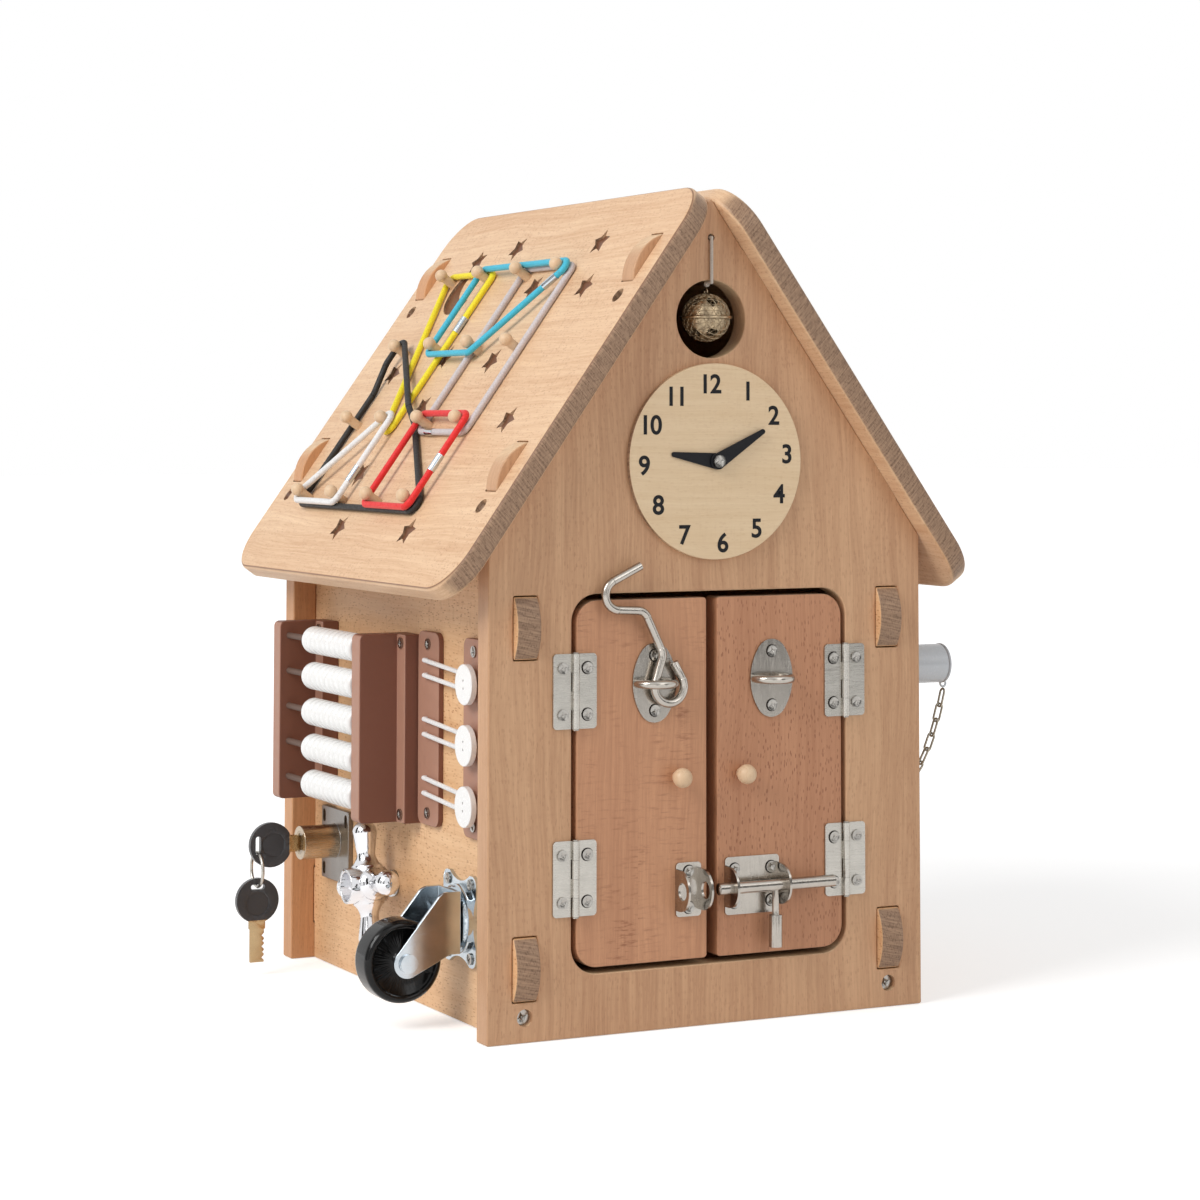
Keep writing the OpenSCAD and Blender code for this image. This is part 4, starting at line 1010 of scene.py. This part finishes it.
def paint_screw_shadows(node: str, name: str, gap: float = 0.45, flatness: float = 0.3) -> bpy.types.Object:
    """Lays a near-black ring, a painted shadow of the gap, round each screw head of a CAD node on the plate
    under it.

    Args:
        node: the CAD node of the screws, which are alike and face the front.
        name: the piece's name.
        gap: the ring's width in millimetres.
        flatness: the ring's height as a share of its width.

    Returns:
        The rings as one mesh.
    """
    screws = _islands(frame["nodes"][node].data)
    low, high = span(screws[0])
    half = gap * MM / 2
    bpy.ops.mesh.primitive_torus_add(
        major_segments=28, minor_segments=6, major_radius=(high.z - low.z) / 2 + half, minor_radius=half)
    first = bpy.context.active_object
    upright = Matrix.Rotation(math.radians(90.0), 4, "X")
    first.data.transform(upright @ Matrix.Diagonal((1.0, 1.0, flatness, 1.0)))
    rings = [first]
    for _ in screws[1:]:
        ring = bpy.data.objects.new(name, first.data.copy())
        bpy.context.scene.collection.objects.link(ring)
        rings.append(ring)
    for ring, screw in zip(rings, screws):
        ring.data.transform(Matrix.Translation(_seat(screw)))
    whole = join(rings)
    bpy.ops.object.shade_smooth()
    return settle(whole, name, PAINTED_SCREW_SHADOW, BODY_OF[node])


# ---------------------------------------------------------------- sub-assemblies
@dataclass
class Shell:
    """The six beech panels, the floor and the screws that hold them."""

    panel_ease: float = 0.9
    roof_ease: float = 2.6

    def build(self) -> None:
        """Makes and dresses the panels."""
        polish("front_panel", "front_gable", FRONT_BEECH, self.panel_ease)
        polish("back_panel", "back_gable", BACK_BEECH, self.panel_ease)
        polish("left_panel", "left_wall", WALL_BEECH, self.panel_ease)
        polish("right_panel", "right_wall", WALL_BEECH, self.panel_ease)
        polish("floor_panel", "floor_board", FLOOR_BEECH, 0.4)
        polish("roof_left", "left_roof_board", LEFT_ROOF, self.roof_ease, reach=60.0, segments=4)
        polish("roof_right", "right_roof_board", RIGHT_ROOF, self.roof_ease, reach=60.0, segments=4)
        polish("screws", "body_screws", SCREW_STEEL)


@dataclass
class Doors:
    """Both doors with their knobs, hinges, hook and bolt."""

    ease: float = 0.7

    def build(self) -> None:
        """Makes and dresses the doors and their furniture."""
        polish("left_door", "left_door_leaf", LEFT_DOOR, self.ease)
        polish("right_door", "right_door_leaf", RIGHT_DOOR, self.ease)
        for side in ("left", "right"):
            polish(f"{side}_knob", f"{side}_door_knob", TURNED_BEECH)
            polish(f"{side}_hinge_leaves", f"{side}_door_hinges", SATIN_STEEL, flat=PLATE_FACE)
            polish(f"{side}_door_screws", f"{side}_fitting_screws", SCREW_STEEL)
            # painted shadow: a near-black ring round each screw head
            paint_screw_shadows(f"{side}_door_screws", f"{side}_screw_rings")
            polish(f"hook_plate_{side}", f"{side}_eye_plate", LATCH_STEEL, flat=PLATE_FACE)
        polish("frame_hinge_leaves", "gable_hinges", SATIN_STEEL, flat=PLATE_FACE)
        polish("hinge_pins", "hinge_pin_set", SATIN_STEEL)
        polish("hook", "gate_hook", LATCH_STEEL)
        polish("bolt_base", "bolt_plate", LATCH_STEEL, flat=PLATE_FACE)
        polish("bolt_keeper", "bolt_catch", LATCH_STEEL, flat=PLATE_FACE)
        polish("bolt_rod", "bolt_bar", LATCH_STEEL)


@dataclass
class Clock:
    """The birch disc, its hands and its printed hours: each hour's text, and its middle across and up."""

    face_y: float = FRONT_Y - 3.0
    size: float = 13.5
    boldness: float = 0.28
    print_t: float = 0.06
    sunk: float = 0.05
    places: tuple[tuple[str, float, float], ...] = (
        ("12", -1.1, 323.3), ("1", 19.7, 319.7), ("2", 35.0, 307.3), ("3", 42.7, 287.4),
        ("4", 38.0, 266.9), ("5", 24.6, 249.4), ("6", 4.9, 242.4), ("7", -17.1, 246.6),
        ("8", -32.3, 261.9), ("9", -40.3, 281.8), ("10", -35.5, 302.3), ("11", -21.9, 316.8),
    )

    def build(self) -> None:
        """Makes the disc, hands and numerals."""
        polish("clock_face", "clock_disc", CLOCK_BIRCH, 0.5)
        polish("hour_hand", "hour_pointer", BLACK_PRINT, 0.15, reach=8.0)
        polish("minute_hand", "minute_pointer", BLACK_PRINT, 0.15, reach=8.0)
        self.print_hours()

    def print_hours(self) -> bpy.types.Object:
        """Prints the twelve hours on the disc.

        Returns:
            The numerals as one mesh.
        """
        made = []
        for text, x, z in self.places:
            bpy.ops.object.text_add(location=(0.0, 0.0, 0.0))
            numeral = bpy.context.active_object
            numeral.data.body = text
            numeral.data.size = self.size * MM
            numeral.data.align_x = "CENTER"
            numeral.data.align_y = "CENTER"
            numeral.data.offset = self.boldness * MM
            numeral.data.extrude = self.print_t * MM
            numeral.data.space_character = 0.92
            pick(numeral)
            bpy.ops.object.convert(target="MESH")
            numeral = bpy.context.active_object
            low, high = span([v.co for v in numeral.data.vertices])
            middle = (low + high) / 2
            numeral.data.transform(Matrix.Translation((-middle.x, -middle.y, 0.0)))
            numeral.data.transform(Matrix.Rotation(math.radians(90.0), 4, "X"))
            numeral.data.transform(Matrix.Translation(Vector((x, self.face_y - self.sunk, z)) * MM))
            made.append(numeral)
        return settle(join(made), "clock_numerals", BLACK_PRINT, "house")


@dataclass
class Bell:
    """The filigree bell; its twine is dressed with the lacing cords."""

    centre: Triple = (-0.5, FRONT_Y + 5.0, 357.4)
    radius: float = 12.35
    wire: float = 0.75

    def build(self) -> None:
        """Makes the shell and the filigree over it."""
        polish("bell", "bell_shell", ANTIQUE_BRASS, smooth=50.0)
        bpy.ops.mesh.primitive_ico_sphere_add(
            subdivisions=3, radius=self.radius * MM, location=Vector(self.centre) * MM)
        net = bpy.context.active_object
        pick(net)
        modifier = net.modifiers.new("filigree", "WIREFRAME")
        modifier.thickness = self.wire * MM
        modifier.use_even_offset = False
        apply_modifiers(net)
        bpy.ops.object.shade_smooth()
        settle(net, "bell_filigree", ANTIQUE_BRASS, "bell")


@dataclass
class PegRoof:
    """The pegs and the elastic bands round them."""

    bands: tuple[tuple[str, Finish], ...] = (
        ("yellow", YELLOW), ("blue", BLUE), ("grey", GREY),
        ("red", RED), ("black", BLACK), ("white", WHITE),
    )

    def build(self) -> None:
        """Makes and dresses pegs, bands and crimps."""
        polish("pegs", "roof_pegs", TURNED_BEECH)
        for colour, finish in self.bands:
            polish(f"band_{colour}", f"{colour}_band", finish, smooth=60.0)
        polish("band_crimps", "band_sleeves", ZINC)


@dataclass
class Abacus:
    """Brackets, rods and five rows of rings."""

    rows: int = 5

    def build(self) -> None:
        """Makes and dresses the abacus."""
        polish("abacus_brackets", "abacus_sides", BROWN_STAIN_SHADED_SIDES, 0.8)
        polish("abacus_rods", "abacus_bars", DARK_ROD)
        for row in range(1, self.rows + 1):
            polish(f"beads_{row}", f"ring_row_{row}", WHITE_BEAD, smooth=60.0)


@dataclass
class Lacing:
    """Two strips, three buttons and their loops; the bell's twine is in the same node, far above."""

    twine_from: float = 300.0

    def build(self) -> None:
        """Makes and dresses the lacing set."""
        polish("lacing_strips", "lacing_bars", BROWN_STAIN_SHADED_SIDES, 0.5)
        polish("buttons", "lacing_buttons", WHITE_BEAD, 0.5, reach=15.0, segments=3)
        cords = polish("cords", "lacing_cords", WHITE, smooth=60.0)
        repaint(cords, TWINE, lambda middle: middle.z > self.twine_from * MM)


@dataclass
class Lock:
    """The cam lock with its keys: the rose's thickness, and where each key's head meets its blade."""

    plate: float = 4.0
    head_out: float = 30.5
    spare_head_z: float = 30.0

    def build(self) -> None:
        """Makes and dresses the lock, plug, keys and ring."""
        lock = polish("lock_body", "lock_barrel", NICKEL, 0.4, reach=14.0)
        repaint(lock, LOCK_PLATE, lambda middle: middle.x > -(WALL_X + self.plate) * MM)
        polish("lock_plug", "lock_core", NICKEL)
        key = polish("key", "lock_key", BLACK_PLASTIC)
        divide(key, Axis.X, -(WALL_X + self.head_out))
        repaint(key, KEY_BLADE, lambda middle: middle.x > -(WALL_X + self.head_out) * MM)
        spare = polish("spare_key", "second_key", BLACK_PLASTIC)
        divide(spare, Axis.Z, self.spare_head_z)
        repaint(spare, KEY_BLADE, lambda middle: middle.z < self.spare_head_z * MM)
        polish("key_ring", "split_ring", SATIN_STEEL)


@dataclass
class Tap:
    """The four-armed tap handle on its spindle."""

    def build(self) -> None:
        """Makes and dresses the tap."""
        polish("tap_handle", "tap_cross", CHROME_PAINTED_DARK, smooth=50.0)
        polish("tap_spindle", "tap_stem", ZINC)


@dataclass
class Caster:
    """The swivel caster."""

    def build(self) -> None:
        """Makes and dresses plate, fork and wheel."""
        polish("caster_plate", "caster_base", ZINC, flat=PLATE_FACE)
        polish("caster_fork", "caster_arms", ZINC, 0.4, reach=14.0)
        polish("caster_wheel", "caster_roller", BLACK_TYRE, smooth=30.0)


@dataclass
class Drain:
    """The drain tube, its stopper and chain."""

    def build(self) -> None:
        """Makes and dresses the drain."""
        polish("pipe_socket", "drain_tube", WHITE_TUBE, 0.4, reach=14.0)
        polish("stopper", "drain_stopper", WHITE_TUBE)
        polish("chain", "stopper_chain", CHAIN_STEEL, smooth=60.0)


# ---------------------------------------------------------------- studio
@dataclass(frozen=True)
class Lamp:
    """A square soft lamp: where it stands and its side in metres, and its watts."""

    name: str
    place: Triple
    size: float
    power: float


@dataclass(frozen=True)
class Card:
    """A dark card for polished metal to mirror: its middle, and its width and height, in metres."""

    name: str
    middle: Triple
    size: tuple[float, float]


def seen_directly(g: Graph) -> Socket:
    """1 on camera, glossy and transmission rays, and 0 on rays that only bring light."""
    rays = g.add("LightPath").outputs
    mirrored = g.math("MAXIMUM", rays["Is Glossy Ray"], rays["Is Transmission Ray"])
    return g.math("MAXIMUM", rays["Is Camera Ray"], mirrored)


@dataclass
class Studio:
    """Camera, floor, lamps, cards and sky.

    The camera's place is in millimetres, and its focal length and centre are in pixels of frame_px.
    The floor glows more the further it is from the house, so that it meets the sky in white and keeps
    the shadow.
    """

    eye: Triple = (-738.586, -1487.527, 303.238)
    ahead: Triple = (0.44682194, 0.8921916, 0.06591132)
    right: Triple = (0.89410232, -0.44786135, 0.00111669)
    focal: float = 2991.92
    frame_px: float = 1200.0
    centre_px: float = 225.31
    sensor: float = 36.0
    clip_end: float = 20.0
    sky_light: float = 0.40
    floor_size: float = 30.0
    floor_drop: float = 0.0002
    floor_tone: float = 0.86
    floor_glow: tuple[float, float] = (0.46, 0.75)
    glow_reach: tuple[float, float] = (0.35, 1.6)
    card_tone: Triple = (0.02, 0.018, 0.016)
    lit: Triple = (0.0, 0.0, 0.2)
    mirrored: Triple = (0.0, 0.0, 0.15)
    lamps: tuple[Lamp, ...] = (
        Lamp("key", (-2.2, -0.55, 1.75), 1.4, 50.0),
        Lamp("fill", (0.9, -2.4, 1.5), 1.8, 14.0),
    )
    cards: tuple[Card, ...] = (
        Card("left_card", (-1.5, 0.55, 0.45), (0.55, 1.5)),
        Card("front_card", (-1.45, -0.95, 0.35), (0.30, 1.4)),
        Card("side_card", (-1.6, -0.15, 0.30), (0.22, 1.5)),
        Card("near_card", (-0.45, -1.75, 0.10), (0.30, 1.2)),
        Card("right_card", (0.85, -1.55, 0.40), (0.55, 1.3)),
        Card("high_card", (-0.5, -0.6, 1.7), (0.9, 0.25)),
    )

    def aim(self) -> None:
        """Places the camera."""
        data = bpy.data.cameras.new("camera")
        camera = bpy.data.objects.new("camera", data)
        bpy.context.scene.collection.objects.link(camera)
        ahead, right = Vector(self.ahead).normalized(), Vector(self.right).normalized()
        up = right.cross(ahead).normalized()
        turn = Matrix((right, up, -ahead)).transposed().to_4x4()
        camera.matrix_world = Matrix.Translation(Vector(self.eye) * MM) @ turn
        data.sensor_fit = "HORIZONTAL"
        data.sensor_width = self.sensor
        data.lens = self.focal * self.sensor / self.frame_px
        data.shift_x = 0.0
        data.shift_y = (self.centre_px - self.frame_px / 2) / self.frame_px
        data.clip_end = self.clip_end
        bpy.context.scene.camera = camera

    def light(self, lamp: Lamp) -> None:
        """Adds a lamp that faces the house.

        Args:
            lamp: its place, size and power.
        """
        data = bpy.data.lights.new(lamp.name, "AREA")
        data.size = lamp.size
        data.energy = lamp.power
        turn = (Vector(self.lit) - Vector(lamp.place)).to_track_quat("-Z", "Y").to_matrix().to_4x4()
        stand = bpy.data.objects.new(lamp.name, data)
        stand.matrix_world = Matrix.Translation(lamp.place) @ turn
        bpy.context.scene.collection.objects.link(stand)

    def sky(self) -> None:
        """A plain sky: white to the camera, softer as light."""
        world = bpy.data.worlds.new("studio")
        bpy.context.scene.world = world
        world.use_nodes = True
        tree = world.node_tree
        tree.nodes.clear()
        g = Graph(tree)
        light = g.add("Background")
        light.inputs["Color"].default_value = (1.0, 1.0, 1.0, 1.0)
        g.feed(light.inputs["Strength"], g.remap(seen_directly(g), 0.0, 1.0, self.sky_light, 1.0))
        g.tree.links.new(light.outputs[0], g.add("OutputWorld").inputs[0])

    def floor(self) -> None:
        """A pale floor that keeps the shadow."""
        bpy.ops.mesh.primitive_plane_add(size=self.floor_size, location=(0.0, 0.0, -self.floor_drop))
        plane = bpy.context.active_object
        plane.name = "floor_sheet"
        material = bpy.data.materials.new("floor_white")
        material.use_nodes = True
        tree = material.node_tree
        tree.nodes.clear()
        g = Graph(tree)
        shader = g.add("BsdfPrincipled")
        shader.inputs["Base Color"].default_value = (*[self.floor_tone] * 3, 1.0)
        shader.inputs["Roughness"].default_value = 0.9
        shader.inputs["Emission Color"].default_value = (1.0, 1.0, 1.0, 1.0)
        reach = g.vector("LENGTH", g.add("TexCoord").outputs["Object"])
        glow = g.remap(reach, *self.glow_reach, *self.floor_glow)
        g.feed(shader.inputs["Emission Strength"], g.math("MULTIPLY", seen_directly(g), glow))
        g.tree.links.new(shader.outputs[0], g.add("OutputMaterial").inputs[0])
        plane.data.materials.append(material)

    def stand(self, card: Card) -> None:
        """Stands a card that faces the house and that only polished metal sees.

        Args:
            card: its place and size.
        """
        bpy.ops.mesh.primitive_plane_add(size=1.0, location=(0.0, 0.0, 0.0))
        sheet = bpy.context.active_object
        pick(sheet)
        turn = (Vector(self.mirrored) - Vector(card.middle)).to_track_quat("Z", "Y").to_matrix().to_4x4()
        place = Matrix.Translation(card.middle) @ turn
        sheet.data.transform(place @ Matrix.Diagonal((*card.size, 1.0, 1.0)))
        sheet.name = card.name
        for ray in ("camera", "diffuse", "shadow", "transmission", "volume_scatter"):
            setattr(sheet, f"visible_{ray}", False)
        sheet.data.materials.append(self.card_black())

    def card_black(self) -> bpy.types.Material:
        """The cards' dull black, made on first use."""
        name = "black_card"
        if name in bpy.data.materials:
            return bpy.data.materials[name]
        material = bpy.data.materials.new(name)
        material.use_nodes = True
        shader = material.node_tree.nodes["Principled BSDF"]
        shader.inputs["Base Color"].default_value = (*self.card_tone, 1.0)
        shader.inputs["Roughness"].default_value = 1.0
        shader.inputs["Specular IOR Level"].default_value = 0.0
        return material

    def build(self) -> None:
        """Sets camera, sky, floor, lamps and cards."""
        self.aim()
        self.sky()
        self.floor()
        for lamp in self.lamps:
            self.light(lamp)
        for card in self.cards:
            self.stand(card)
        bpy.context.scene.view_settings.view_transform = "Standard"


def main() -> None:
    """Builds the studio and every sub-assembly in order."""
    logging.basicConfig(level=logging.INFO, format="%(name)s: %(message)s")
    parts = (Studio(), Shell(), Doors(), Clock(), Bell(), PegRoof(), Abacus(), Lacing(), Lock(), Tap(),
             Caster(), Drain())
    for part in parts:
        LOG.info("building %s", type(part).__name__)
        part.build()


if __name__ == "__main__":
    main()
